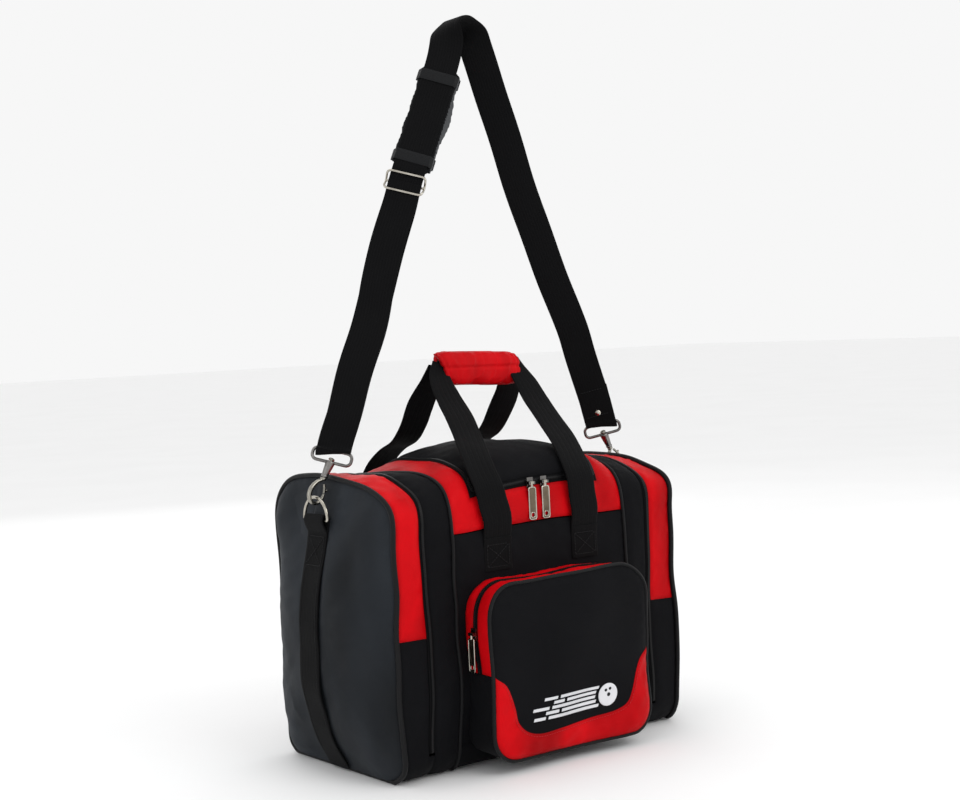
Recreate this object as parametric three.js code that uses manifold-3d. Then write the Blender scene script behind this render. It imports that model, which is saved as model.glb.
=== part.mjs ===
// Single-ball bowling bag: zipped main compartment with a domed lid, one zipped
// pouch at each end, a zipped pocket on the front, two webbing handles with a
// padded grip, and an adjustable shoulder strap on snap hooks.
// Millimetres. +Z up, -Y the front with the pocket, X along the bag.
// The origin is on the floor, under the middle of the main compartment.
import * as THREE from "three";
import { mergeVertices } from "three/addons/utils/BufferGeometryUtils.js";
import Module from "manifold-3d";
const wasm = await Module();
wasm.setup();

// ---- driving dimensions -------------------------------------------------
const HALF_LENGTH = 195; // end seam to middle, along X
const HALF_DEPTH = 113; // half of the bag's depth, along Y
const POUCH_HEIGHT = 316; // top of the end pouches
const CROWN = 30; // how far the lid domes above the pouches
const CROWN_HALF = 121; // half width of the domed middle section
const CORNER = 30; // bottom corner radius in section
const SHOULDER_Z = 258; // where the wall starts to turn into the top
const WALL = 2.5; // padded fabric thickness
const GAP = 0.3; // clearance between neighbouring panels
const RED_Z = 150; // bottom end of the red on the gussets
const GUSSET_X = 162; // gusset to zip
const BAND_X = 154; // zip to black band
const MIDDLE_X = 122; // black band to middle panels
const LID_X = 93; // half width of the lid opening
const LID_ANGLE = 17.1; // section angle of the lid's front edge
const LID_HINGE = 125; // section angle of the lid's rear edge
const BULGE_LOW = 36; // how far the end panels bulge, lower half
const BULGE_TOP = 24; // and near the D-ring
const WEB = 38; // webbing width
const WEB_T = 2.4; // webbing thickness
const POCKET_X = 110; // half width of the front pocket
const POCKET_Z0 = 17, POCKET_Z1 = 206; // its bottom and top
const POCKET_Y = -158; // its front face
const POCKET_FOLD_Z = 108; // fold of the pocket's front
const HANDLE_X = 62; // leg centres of the handles
const HANDLE_PIVOT_Z = 250, HANDLE_PIVOT_Y = 114.8;
const GRIP_Z0 = 409, GRIP_Z1 = 449, GRIP_HALF = 50.8;
const RING_Z = 277, RING_X = 218.6, RING_R = 23, RING_WIRE = 4;
const LOOP_WIDTH = 47, LOOP_HEIGHT = 17, LOOP_WIRE = 3.6;
const STRAP_YAW = 37; // the strap faces this many degrees off the front

// ---- materials -----------------------------------------------------------
const mat = (color, roughness, metalness = 0) =>
  new THREE.MeshStandardMaterial({ color, roughness, metalness });
const BLACK = mat(0x0b0b0d, 0.8), GREY = mat(0x25282d, 0.75), RED = mat(0xd9050f, 0.45),
  WEBBING = mat(0x070708, 0.85), METAL = mat(0x9a9a98, 0.25, 1), BOARD = mat(0x1a1a1a, 0.7),
  FOAM = mat(0x2a2a2c, 0.95), TAPE = mat(0x050505, 0.7);

const root = new THREE.Group();
function add(name, geometry, material) {
  const m = new THREE.Mesh(geometry, material);
  m.name = name;
  root.add(m);
  return m;
}
const V = (x, y, z) => new THREE.Vector3(x, y, z);
const rad = THREE.MathUtils.degToRad;

// ---- mesh helpers ----------------------------------------------------------
function signedVolume(pos, idx) {
  let v = 0;
  for (let i = 0; i < idx.length; i += 3) {
    const [a, b, c] = [0, 1, 2].map((k) => V(...pos.slice(idx[i + k] * 3, idx[i + k] * 3 + 3)));
    v += a.dot(b.clone().cross(c)) / 6;
  }
  return v;
}
function meshOf(pos, idx) {
  if (signedVolume(pos, idx) < 0)
    for (let i = 0; i < idx.length; i += 3) [idx[i], idx[i + 1]] = [idx[i + 1], idx[i]];
  const g = new THREE.BufferGeometry();
  g.setAttribute("position", new THREE.BufferAttribute(new Float32Array(pos), 3));
  g.setIndex(idx);
  return g;
}
function solid(g) {
  const p = (g.index ? g.toNonIndexed() : g.clone());
  const q = mergeVertices(new THREE.BufferGeometry().setAttribute("position", p.getAttribute("position")), 1e-4);
  return new wasm.Manifold(new wasm.Mesh({
    numProp: 3, vertProperties: new Float32Array(q.attributes.position.array), triVerts: new Uint32Array(q.index.array),
  }));
}
function geometry(s) {
  const m = s.getMesh();
  const g = new THREE.BufferGeometry();
  g.setAttribute("position", new THREE.BufferAttribute(new Float32Array(m.vertProperties), 3));
  g.setIndex(Array.from(m.triVerts));
  return g;
}
const join = (...gs) => geometry(gs.map(solid).reduce((a, b) => a.add(b)));
const cut = (g, ...tools) => geometry(tools.reduce((a, t) => a.subtract(solid(t)), solid(g)));
const box = (x0, x1, y0, y1, z0, z1) =>
  new THREE.BoxGeometry(x1 - x0, y1 - y0, z1 - z0).translate((x0 + x1) / 2, (y0 + y1) / 2, (z0 + z1) / 2);
function rod(p, q, r, n = 16) {
  const d = q.clone().sub(p);
  return new THREE.CylinderGeometry(r, r, d.length(), n)
    .applyQuaternion(new THREE.Quaternion().setFromUnitVectors(V(0, 1, 0), d.clone().normalize()))
    .translate(...p.clone().add(q).multiplyScalar(0.5).toArray());
}
// places a geometry made in a local frame: x, y, z axes and origin
function place(g, ex, ey, ez, o) {
  return g.applyMatrix4(new THREE.Matrix4().makeBasis(ex, ey, ez).setPosition(o));
}
// A sheet of thickness t under the surface P, over the cells of a grid that keep() leaves in.
function sheet(us, vs, P, N, t, keep = () => true, wrap = false) {
  const nu = us.length, nv = vs.length, cols = wrap ? nv : nv - 1;
  const pos = [], idx = [], id = new Map();
  const vert = (i, j, side) => {
    const key = `${i},${j % nv},${side}`;
    if (!id.has(key)) {
      const p = P(us[i], vs[j % nv]);
      if (side) p.addScaledVector(N(us[i], vs[j % nv]), -t);
      id.set(key, pos.length / 3);
      pos.push(p.x, p.y, p.z);
    }
    return id.get(key);
  };
  const on = (i, j) => {
    if (i < 0 || i >= nu - 1) return false;
    if (wrap) j = (j + cols) % cols;
    return j >= 0 && j < cols && keep(i, j);
  };
  const quad = (a, b, c, d) => idx.push(a, b, c, a, c, d);
  for (let i = 0; i < nu - 1; i++)
    for (let j = 0; j < cols; j++) {
      if (!on(i, j)) continue;
      const o = [vert(i, j, 0), vert(i + 1, j, 0), vert(i + 1, j + 1, 0), vert(i, j + 1, 0)];
      const n = [vert(i, j, 1), vert(i + 1, j, 1), vert(i + 1, j + 1, 1), vert(i, j + 1, 1)];
      quad(...o);
      quad(n[3], n[2], n[1], n[0]);
      const side = (a, b) => quad(o[b], o[a], n[a], n[b]);
      if (!on(i, j - 1)) side(0, 1);
      if (!on(i + 1, j)) side(1, 2);
      if (!on(i, j + 1)) side(2, 3);
      if (!on(i - 1, j)) side(3, 0);
    }
  return meshOf(pos, idx);
}
// a flat strip of webbing along points, with its width direction at each
function ribbon(points, widths, w, t) {
  const pos = [], idx = [];
  points.forEach((p, i) => {
    const tan = points[Math.min(i + 1, points.length - 1)].clone().sub(points[Math.max(i - 1, 0)]).normalize();
    const wd = widths[Math.min(i, widths.length - 1)].clone();
    wd.addScaledVector(tan, -wd.dot(tan)).normalize();
    const n = wd.clone().cross(tan).normalize();
    for (const [a, b] of [[-1, -1], [1, -1], [1, 1], [-1, 1]])
      pos.push(...p.clone().addScaledVector(wd, (a * w) / 2).addScaledVector(n, (b * t) / 2).toArray());
  });
  for (let i = 0; i < points.length - 1; i++)
    for (let k = 0; k < 4; k++) {
      const a = i * 4 + k, b = i * 4 + ((k + 1) % 4);
      idx.push(a, b, b + 4, a, b + 4, a + 4);
    }
  const e = (points.length - 1) * 4;
  idx.push(0, 2, 1, 0, 3, 2, e, e + 1, e + 2, e, e + 2, e + 3);
  return meshOf(pos, idx);
}
// outline of a bent strip of half width h along 2D points
function stripShape(pts, h) {
  const left = [], right = [];
  pts.forEach((p, i) => {
    const a = pts[Math.max(i - 1, 0)], b = pts[Math.min(i + 1, pts.length - 1)];
    const tx = b[0] - a[0], ty = b[1] - a[1], l = Math.hypot(tx, ty);
    left.push(new THREE.Vector2(p[0] - (ty / l) * h, p[1] + (tx / l) * h));
    right.push(new THREE.Vector2(p[0] + (ty / l) * h, p[1] - (tx / l) * h));
  });
  return new THREE.Shape([...left, ...right.reverse()]);
}
const extrude = (shape, depth, curveSegments = 8) =>
  new THREE.ExtrudeGeometry(shape, { depth, bevelEnabled: false, curveSegments });
function roundRect(x0, x1, y0, y1, r, hole = false) {
  const s = hole ? new THREE.Path() : new THREE.Shape();
  s.moveTo(x0 + r, y0); s.lineTo(x1 - r, y0); s.absarc(x1 - r, y0 + r, r, -Math.PI / 2, 0, false);
  s.lineTo(x1, y1 - r); s.absarc(x1 - r, y1 - r, r, 0, Math.PI / 2, false);
  s.lineTo(x0 + r, y1); s.absarc(x0 + r, y1 - r, r, Math.PI / 2, Math.PI, false);
  s.lineTo(x0, y0 + r); s.absarc(x0 + r, y0 + r, r, Math.PI, 1.5 * Math.PI, false);
  return s;
}

// ---- the bag's section -----------------------------------------------------
// v runs from the middle of the bottom, up the front, over the top and down the back:
// 0-1 bottom, 1-2 corner, 2-3 front wall, 3-5 top, 5-6 back wall, 6-7 corner, 7-8 bottom.
const POWER = 2 / 3.2;
const smooth = (t) => (t = Math.min(Math.max(t, 0), 1), t * t * (3 - 2 * t));
function height(x, angle) {
  const a = Math.min(Math.abs(x) / CROWN_HALF, 1);
  return POUCH_HEIGHT + CROWN * (1 - a ** 2.4) * (1 - smooth((angle - 90) / (LID_HINGE - 90)));
}
function section(x, v) {
  const D = HALF_DEPTH, r = CORNER;
  if (v > 8) v -= 8;
  if (v <= 1) return [-(D - r) * v, 0];
  if (v <= 2) return [-(D - r) - r * Math.sin(rad(90 * (v - 1))), r - r * Math.cos(rad(90 * (v - 1)))];
  if (v <= 3) return [-D, r + (SHOULDER_Z - r) * (v - 2)];
  if (v < 5) {
    const angle = (v - 3) * 90, c = Math.cos(rad(angle)), s = Math.sin(rad(angle));
    return [-D * Math.sign(c) * Math.abs(c) ** POWER, SHOULDER_Z + (height(x, angle) - SHOULDER_Z) * s ** POWER];
  }
  const [y, z] = section(x, 8 - v);
  return [-y, z];
}
const P = (x, v) => { const [y, z] = section(x, v); return V(x, y, z); };
// outward normal in the section's plane
function N(x, v) {
  if (v > 8) v -= 8;
  const e = 1e-3, a = section(x, Math.max(v - e, 0)), b = section(x, Math.min(v + e, 8));
  const ty = b[0] - a[0], tz = b[1] - a[1], l = Math.hypot(ty, tz);
  return V(0, tz === 0 && ty === 0 ? 0 : tz / l, -ty / l).multiplyScalar(-1);
}
const wallV = (z) => 2 + (z - CORNER) / (SHOULDER_Z - CORNER); // front wall height to v
const TOP = [1.5, 5, 10, 17.1, 28, 42, 58, 73, 84, 90].map((a) => 3 + a / 90);
const TOP_ALL = [3, ...TOP, ...TOP.slice(0, -1).reverse().map((v) => 8 - v), 5];
const between = (a, b, list) => [a, ...list.filter((v) => v > a + 1e-6 && v < b - 1e-6), b];
const CORNERS = [1, 1.25, 1.5, 1.75, 2], ALL = [0, ...CORNERS, ...TOP_ALL, ...CORNERS.map((v) => 8 - v).reverse()];
const dv = GAP / 2 / (SHOULDER_Z - CORNER);

const vRed = wallV(RED_Z), vBottom = 2;
for (const s of [-1, 1]) {
  const side = s < 0 ? "left" : "right";
  const xs = (a, b) => (s < 0 ? [-a, -b] : [b, a]);
  // red upper and black lower halves of the gusset
  add(`${side}_gusset_red`, sheet(xs(HALF_LENGTH - 0.3, GUSSET_X + GAP),
    between(vRed + dv, 8 - vRed - dv, ALL), P, N, WALL), RED);
  {
    const v = [...between(8 - vRed + dv, 8, ALL), ...between(0, vRed - dv, ALL).slice(1).map((q) => q + 8)];
    const us = s < 0 ? [-(HALF_LENGTH - 0.3), -(GUSSET_X + GAP), -(BAND_X + GAP)] : [BAND_X + GAP, GUSSET_X + GAP, HALF_LENGTH - 0.3];
    const inner = s < 0 ? 1 : 0, lo = 8 - 2, hi = 10;
    add(`${side}_gusset_black`, sheet(us, v, P, N, WALL,
      (i, j) => i !== inner || (v[j] >= lo - 1e-6 && v[j + 1] <= hi + 1e-6)), BLACK);
  }
  // zip that arches from the front corner over the top to the back corner
  add(`${side}_end_zip`, sheet(xs(GUSSET_X, BAND_X + GAP), between(2 + 2 * dv, 6 - 2 * dv, ALL), P, N, 1.6), TAPE);
  add(`${side}_band`, sheet(xs(BAND_X, MIDDLE_X), ALL, P, N, WALL, () => true, true), BLACK);
  // wall between the main compartment and the end pouch
  {
    const pts = ALL.filter((v) => v < 8).map((v) => { const p = P(160, v).addScaledVector(N(160, v), -(WALL + 0.6)); return new THREE.Vector2(p.y, p.z); });
    const g = extrude(new THREE.Shape(pts), 2.4);
    add(`${side}_divider`, place(g, V(0, 1, 0), V(0, 0, 1), V(1, 0, 0), V(s < 0 ? -(BAND_X - 0.4) : BAND_X - 2.8, 0, 0)), BLACK);
  }
}

// ---- end panels -------------------------------------------------------------
function bulge(ring, z) {
  const b = BULGE_LOW + (BULGE_TOP - BULGE_LOW) * smooth((z - 150) / 110);
  return b * (1 - ring ** 3);
}
const MIDZ = POUCH_HEIGHT / 2;
function endOuter(z) { // outer face of the end panel on its centre line
  return HALF_LENGTH + 2.3 + bulge(Math.abs(z - MIDZ) / MIDZ, z);
}
function endPanel(s) {
  const rings = [1, 0.87, 0.7, 0.48, 0.24], vs = ALL, n = vs.length, pos = [], idx = [];
  const point = (k, j, inner) => {
    const [y, z] = section(160, vs[j]);
    const q = rings[k], yy = y * q, zz = MIDZ + (z - MIDZ) * q;
    return [s * (HALF_LENGTH + 2.3 + bulge(q, zz) - (inner ? WALL - 0.1 : 0)), yy, zz];
  };
  for (const inner of [0, 1])
    for (let k = 0; k < rings.length; k++) for (let j = 0; j < n; j++) pos.push(...point(k, j, inner));
  const at = (inner, k, j) => inner * rings.length * n + k * n + (j % n);
  for (let j = 0; j < n; j++) {
    for (let k = 0; k < rings.length - 1; k++) {
      idx.push(at(0, k, j), at(0, k, j + 1), at(0, k + 1, j + 1), at(0, k, j), at(0, k + 1, j + 1), at(0, k + 1, j));
      idx.push(at(1, k, j + 1), at(1, k, j), at(1, k + 1, j + 1), at(1, k + 1, j + 1), at(1, k, j), at(1, k + 1, j));
    }
    idx.push(at(0, 0, j + 1), at(0, 0, j), at(1, 0, j), at(0, 0, j + 1), at(1, 0, j), at(1, 0, j + 1));
  }
  const c0 = pos.length / 3;
  pos.push(s * (HALF_LENGTH + 2.3 + bulge(0, MIDZ)), 0, MIDZ, s * (HALF_LENGTH + 2.3 + bulge(0, MIDZ) - WALL + 0.1), 0, MIDZ);
  for (let j = 0; j < n; j++) {
    idx.push(at(0, rings.length - 1, j), at(0, rings.length - 1, j + 1), c0);
    idx.push(at(1, rings.length - 1, j + 1), at(1, rings.length - 1, j), c0 + 1);
  }
  return meshOf(pos, idx);
}
for (const s of [-1, 1]) {
  const side = s < 0 ? "left" : "right";
  add(`${side}_end_panel`, endPanel(s), GREY);
  // webbing down the end, with the loop that holds the D-ring
  const zs = [5, 18, 40, 70, 110, 150, 190, 225, 250, 264];
  const run = zs.map((z) => V(s * (endOuter(z) + 0.7 + WEB_T / 2), 0, z));
  run.push(V(s * (RING_X + 0.4), 0, 273.2));
  const hole = rod(V(s * RING_X, -WEB, RING_Z), V(s * RING_X, WEB, RING_Z), 3.2);
  const eye = rod(V(s * RING_X, -WEB / 2, RING_Z), V(s * RING_X, WEB / 2, RING_Z), 5.4);
  add(`${side}_end_webbing`, cut(join(ribbon(run, [V(0, 1, 0)], WEB, WEB_T), eye), hole), WEBBING);
  // D-ring: straight bar through the loop, half-round top
  {
    const R = RING_R + RING_WIRE / 2, r = RING_R - RING_WIRE / 2, h = RING_WIRE / 2;
    const outer = new THREE.Shape();
    outer.moveTo(-R, -h); outer.lineTo(R, -h); outer.lineTo(R, 0); outer.absarc(0, 0, R, 0, Math.PI, false); outer.lineTo(-R, -h);
    const inner = new THREE.Path();
    const a0 = Math.asin(h / r);
    inner.absarc(0, 0, r, a0, Math.PI - a0, false); inner.closePath();
    outer.holes.push(inner);
    add(`${side}_d_ring`, place(extrude(outer, RING_WIRE, 20), V(0, 1, 0), V(0, 0, 1), V(1, 0, 0),
      V(s * RING_X - RING_WIRE / 2, 0, RING_Z)), METAL);
  }
}

// ---- middle panels -----------------------------------------------------------
const MX = MIDDLE_X - GAP, midXs = [-MX, -LID_X, -75, -50, -25, 0, 25, 50, 75, LID_X, MX];
const vBand = 3 - dv, vLid = 3 + LID_ANGLE / 90, vHinge = 3 + LID_HINGE / 90, step = 0.0045;
add("bottom_panel", sheet([-MX, MX], [...between(6 + dv, 8, ALL), ...between(0, 2 - dv, ALL).slice(1).map((v) => v + 8)], P, N, WALL), BLACK);
add("front_panel", sheet([-MX, MX], [2 + dv, wallV(RED_Z), vBand], P, N, WALL), BLACK);
{
  // red yoke: the strip under the lid's front edge and the strips beside the lid
  const vs = between(3 + dv, vHinge, TOP_ALL);
  const jl = vs.findIndex((v) => Math.abs(v - vLid) < 1e-6);
  add("red_yoke", sheet(midXs, vs, P, N, WALL, (i, j) => i === 0 || i === midXs.length - 2 || j < jl), RED);
}
add("back_panel", sheet(midXs, between(vHinge + 0.018, 6 - dv, ALL), P, N, WALL), BLACK);
{
  // lid with its zip around the front and both sides
  const lx = LID_X - GAP, zx = LID_X - 7;
  const zipXs = [-lx, -zx, -50, -25, 0, 25, 50, zx, lx];
  const vZip = vLid + 0.075, vs = between(vLid + step, vHinge - 0.004, [vZip, ...TOP_ALL.filter((v) => v > vZip + 0.02)]);
  const jz = vs.findIndex((v) => Math.abs(v - vZip) < 1e-6);
  add("lid_zip", sheet(zipXs, vs, P, N, 1.6, (i, j) => i === 0 || i === zipXs.length - 2 || j < jz), TAPE);
  add("lid_panel", sheet([-zx + GAP, -50, -25, 0, 25, 50, zx - GAP], vs.slice(jz).map((v, k) => (k ? v : v + 0.004)), P, N, WALL), BLACK);
}
// stiff board and moulded ball cup inside
add("base_board", extrude(roundRect(-147, 147, -80, 80, 14), 4, 4).translate(0, 0, 3.1), BOARD);
add("ball_cup", new THREE.LatheGeometry([[50, 7.5], [74, 7.5], [74, 27], [64, 31], [50, 20], [50, 7.5]].map((p) => new THREE.Vector2(...p)), 28)
  .rotateX(Math.PI / 2).translate(0, 0, 0), FOAM);

// ---- front pocket -------------------------------------------------------------
function outline() { // closed, anticlockwise seen from the front, starting at the left fold point
  const pts = [], X = POCKET_X, rt = 38, rb = 28;
  const arc = (cx, cz, r, a0, a1, n) => { for (let k = 0; k <= n; k++) { const a = rad(a0 + ((a1 - a0) * k) / n); pts.push([cx + r * Math.cos(a), cz + r * Math.sin(a)]); } };
  pts.push([-X, POCKET_FOLD_Z]);
  arc(-X + rb, POCKET_Z0 + rb, rb, 180, 270, 5);
  arc(X - rb, POCKET_Z0 + rb, rb, 270, 360, 5);
  pts.push([X, POCKET_FOLD_Z]);
  arc(X - rt, POCKET_Z1 - rt, rt, 0, 90, 6);
  arc(-X + rt, POCKET_Z1 - rt, rt, 90, 180, 6);
  return pts;
}
const OUT = outline(), FOLD_R = OUT.findIndex((p, i) => i && p[1] === POCKET_FOLD_Z);
const lower = OUT.slice(0, FOLD_R + 1), upper = [...OUT.slice(FOLD_R), OUT[0]];
function pocketRing(pts, y0, y1, t, lift) {
  const at = (k) => {
    const p = pts[k], a = pts[Math.max(k - 1, 0)], b = pts[Math.min(k + 1, pts.length - 1)];
    return { p, n: [b[1] - a[1], -(b[0] - a[0])] };
  };
  const ks = pts.map((_, k) => k);
  const Q = (y, k) => { const { p } = at(k); const end = k === 0 || k === pts.length - 1; return V(p[0], y, p[1] + (end ? lift : 0)); };
  const M = (y, k) => { const { n } = at(k); const l = Math.hypot(...n); return V(n[0] / l, 0, n[1] / l); };
  return sheet([y0, y1], ks, Q, M, t);
}
const PB = -HALF_DEPTH - 0.4;
add("pocket_gusset_lower", pocketRing(lower, POCKET_Y + 2.7, PB, 2, -GAP), BLACK);
add("pocket_gusset_rear", pocketRing(upper, -127.2, PB, 2, GAP), RED);
add("pocket_zip", pocketRing(upper, -134.7, -127.5, 1.6, GAP), TAPE);
add("pocket_gusset_front", pocketRing(upper, POCKET_Y + 2.7, -135, 2, GAP), RED);
const plate = (pts, y0, y1) => place(extrude(new THREE.Shape(pts.map((p) => new THREE.Vector2(...p))), y1 - y0),
  V(1, 0, 0), V(0, 0, 1), V(0, -1, 0), V(0, y1, 0));
const lift = (pts, d) => pts.map((p, i) => (i === 0 || i === pts.length - 1 ? [p[0], p[1] + d] : p));
add("pocket_face_lower", plate(lift(lower, -GAP), POCKET_Y, POCKET_Y + 2.4), BLACK);
add("pocket_face_upper", plate(lift(upper, GAP), POCKET_Y, POCKET_Y + 2.4), BLACK);
// red swept trim along the bottom of the pocket
const SWOOSH = [[-106, 104], [-96, 98], [-89, 84], [-84, 70], [-80, 56], [-70, 46], [-54, 41], [-20, 42], [20, 44], [58, 47], [72, 53], [80, 66], [87, 84], [95, 98], [106, 106]];
add("pocket_trim", plate([...SWOOSH, [107.5, 90], [107.5, 46], [101, 28], [84, 19.5], [-84, 19.5], [-101, 28], [-107.5, 46], [-107.5, 90]],
  POCKET_Y - 1.9, POCKET_Y - 0.3), RED);

// ---- zip sliders and pulls --------------------------------------------------------
// local frame: x along the pull's pin, y out of the bag, z up; origin on the pin
function slider(name, ex, ey, o, back) {
  const ez = ex.clone().cross(ey);
  const body = join(box(-4.2, 4.2, -back, -2.4, -6, 6), box(-4.2, -2.9, -2.8, 1.5, -1.7, 1.7), box(2.9, 4.2, -2.8, 1.5, -1.7, 1.7), rod(V(-3.6, 0, 0), V(3.6, 0, 0), 0.8, 10));
  add(name, place(body, ex, ey, ez, o), METAL);
}
function pull(name, ex, ey, o, length) {
  const ez = ex.clone().cross(ey);
  const blade = roundRect(-5.5, 5.5, -length, -4.4, 2.6);
  blade.holes.push(roundRect(-2.6, 2.6, -length + 2.4, -length + 8, 1.6, true));
  const plateG = place(extrude(blade, 1.8, 3), V(1, 0, 0), V(0, 0, 1), V(0, -1, 0), V(0, 0.9, 0));
  const g = cut(join(plateG, box(-2.3, 2.3, -0.9, 0.9, -5.5, 0), rod(V(-2.3, 0, 0), V(2.3, 0, 0), 2, 14)), rod(V(-4, 0, 0), V(4, 0, 0), 1.15, 12));
  add(name, place(g, ex, ey, ez, o), METAL);
}
const FRONT = [V(-1, 0, 0), V(0, -1, 0)]; // pin along X, facing the front
const REAR = [V(1, 0, 0), V(0, 1, 0)];
const LZ = 302, LY = -114.9;
slider("lid_slider_left", ...FRONT, V(-11, LY, LZ), 3.6);
pull("lid_pull_left", ...FRONT, V(-11, LY, LZ), 41);
slider("lid_slider_right", ...FRONT, V(8, LY, LZ), 3.6);
pull("lid_pull_right", ...FRONT, V(8, LY, LZ), 41);
for (const s of [-1, 1]) {
  const side = s < 0 ? "left" : "right", o = V(s * 158.2, 117.2, 78);
  slider(`${side}_end_slider`, ...REAR, o, 3.7);
  pull(`${side}_end_pull`, ...REAR, o, 38);
}
const SIDE = [V(0, 1, 0), V(-1, 0, 0)]; // pin along Y, facing left
slider("pocket_slider", ...SIDE, V(-114.2, -131.1, 151), 3.8);
pull("pocket_pull", ...SIDE, V(-114.2, -131.1, 151), 41);

// ---- handles ------------------------------------------------------------------
for (const f of [-1, 1]) {
  const end = f < 0 ? "front" : "rear";
  for (const s of [-1, 1])
    add(`${end}_${s < 0 ? "left" : "right"}_handle_tab`, box(s * HANDLE_X - WEB / 2, s * HANDLE_X + WEB / 2, ...(f < 0 ? [-115.8, -113.4] : [113.4, 115.8]), 212, 247.6), WEBBING);
  // the front legs hug the shoulder of the bag, the rear ones lie back over the lid before they rise to the grip
  const legPath = f < 0
    ? [[62, HANDLE_PIVOT_Y, 250.9], [62, 119.4, 268], [62, 120, 298], [62, 114.5, 320], [62, 99, 338], [62, 76, 358], [62, 48, 382], [68, 26, 404], [70.6, 12, 421], [70.6, 5.7, 436]]
    : [[62, HANDLE_PIVOT_Y, 250.9], [62, 119.4, 268], [62, 119.6, 298], [62, 111, 321], [62, 92, 337], [62, 72, 349], [62, 53, 362], [66, 35, 384], [70.6, 19, 408], [70.6, 5.7, 436]];
  const leg = (s) => ribbon(legPath.map(([x, y, z]) => V(s * x, f * y, z)), [V(1, 0, 0)], WEB, WEB_T);
  const run = box(-GRIP_HALF - 24, GRIP_HALF + 24, ...(f < 0 ? [-7, -4.4] : [4.4, 7]), 411.6, 446.4);
  add(`${end}_handle`, join(leg(-1), leg(1), run), WEBBING);
  // half of the padded grip, open towards the other handle
  const d = f < 0 ? -1 : 1;
  const pts = [[0.3, GRIP_Z0], [8, GRIP_Z0], [13.5, GRIP_Z0 + 4], [16, GRIP_Z0 + 12], [16, GRIP_Z1 - 12], [13.5, GRIP_Z1 - 4], [8, GRIP_Z1], [0.3, GRIP_Z1],
    [0.3, GRIP_Z1 - 2.2], [7.4, GRIP_Z1 - 2.2], [7.4, GRIP_Z0 + 2.2], [0.3, GRIP_Z0 + 2.2]];
  const half = new THREE.Shape(pts.map(([y, z]) => new THREE.Vector2(d * y, z)));
  add(`grip_${end}`, place(extrude(half, 2 * GRIP_HALF), V(0, 1, 0), V(0, 0, 1), V(1, 0, 0), V(-GRIP_HALF, 0, 0)), RED);
}

// ---- shoulder strap -----------------------------------------------------------
const FACE = V(Math.cos(rad(STRAP_YAW)), -Math.sin(rad(STRAP_YAW)), 0);
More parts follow.
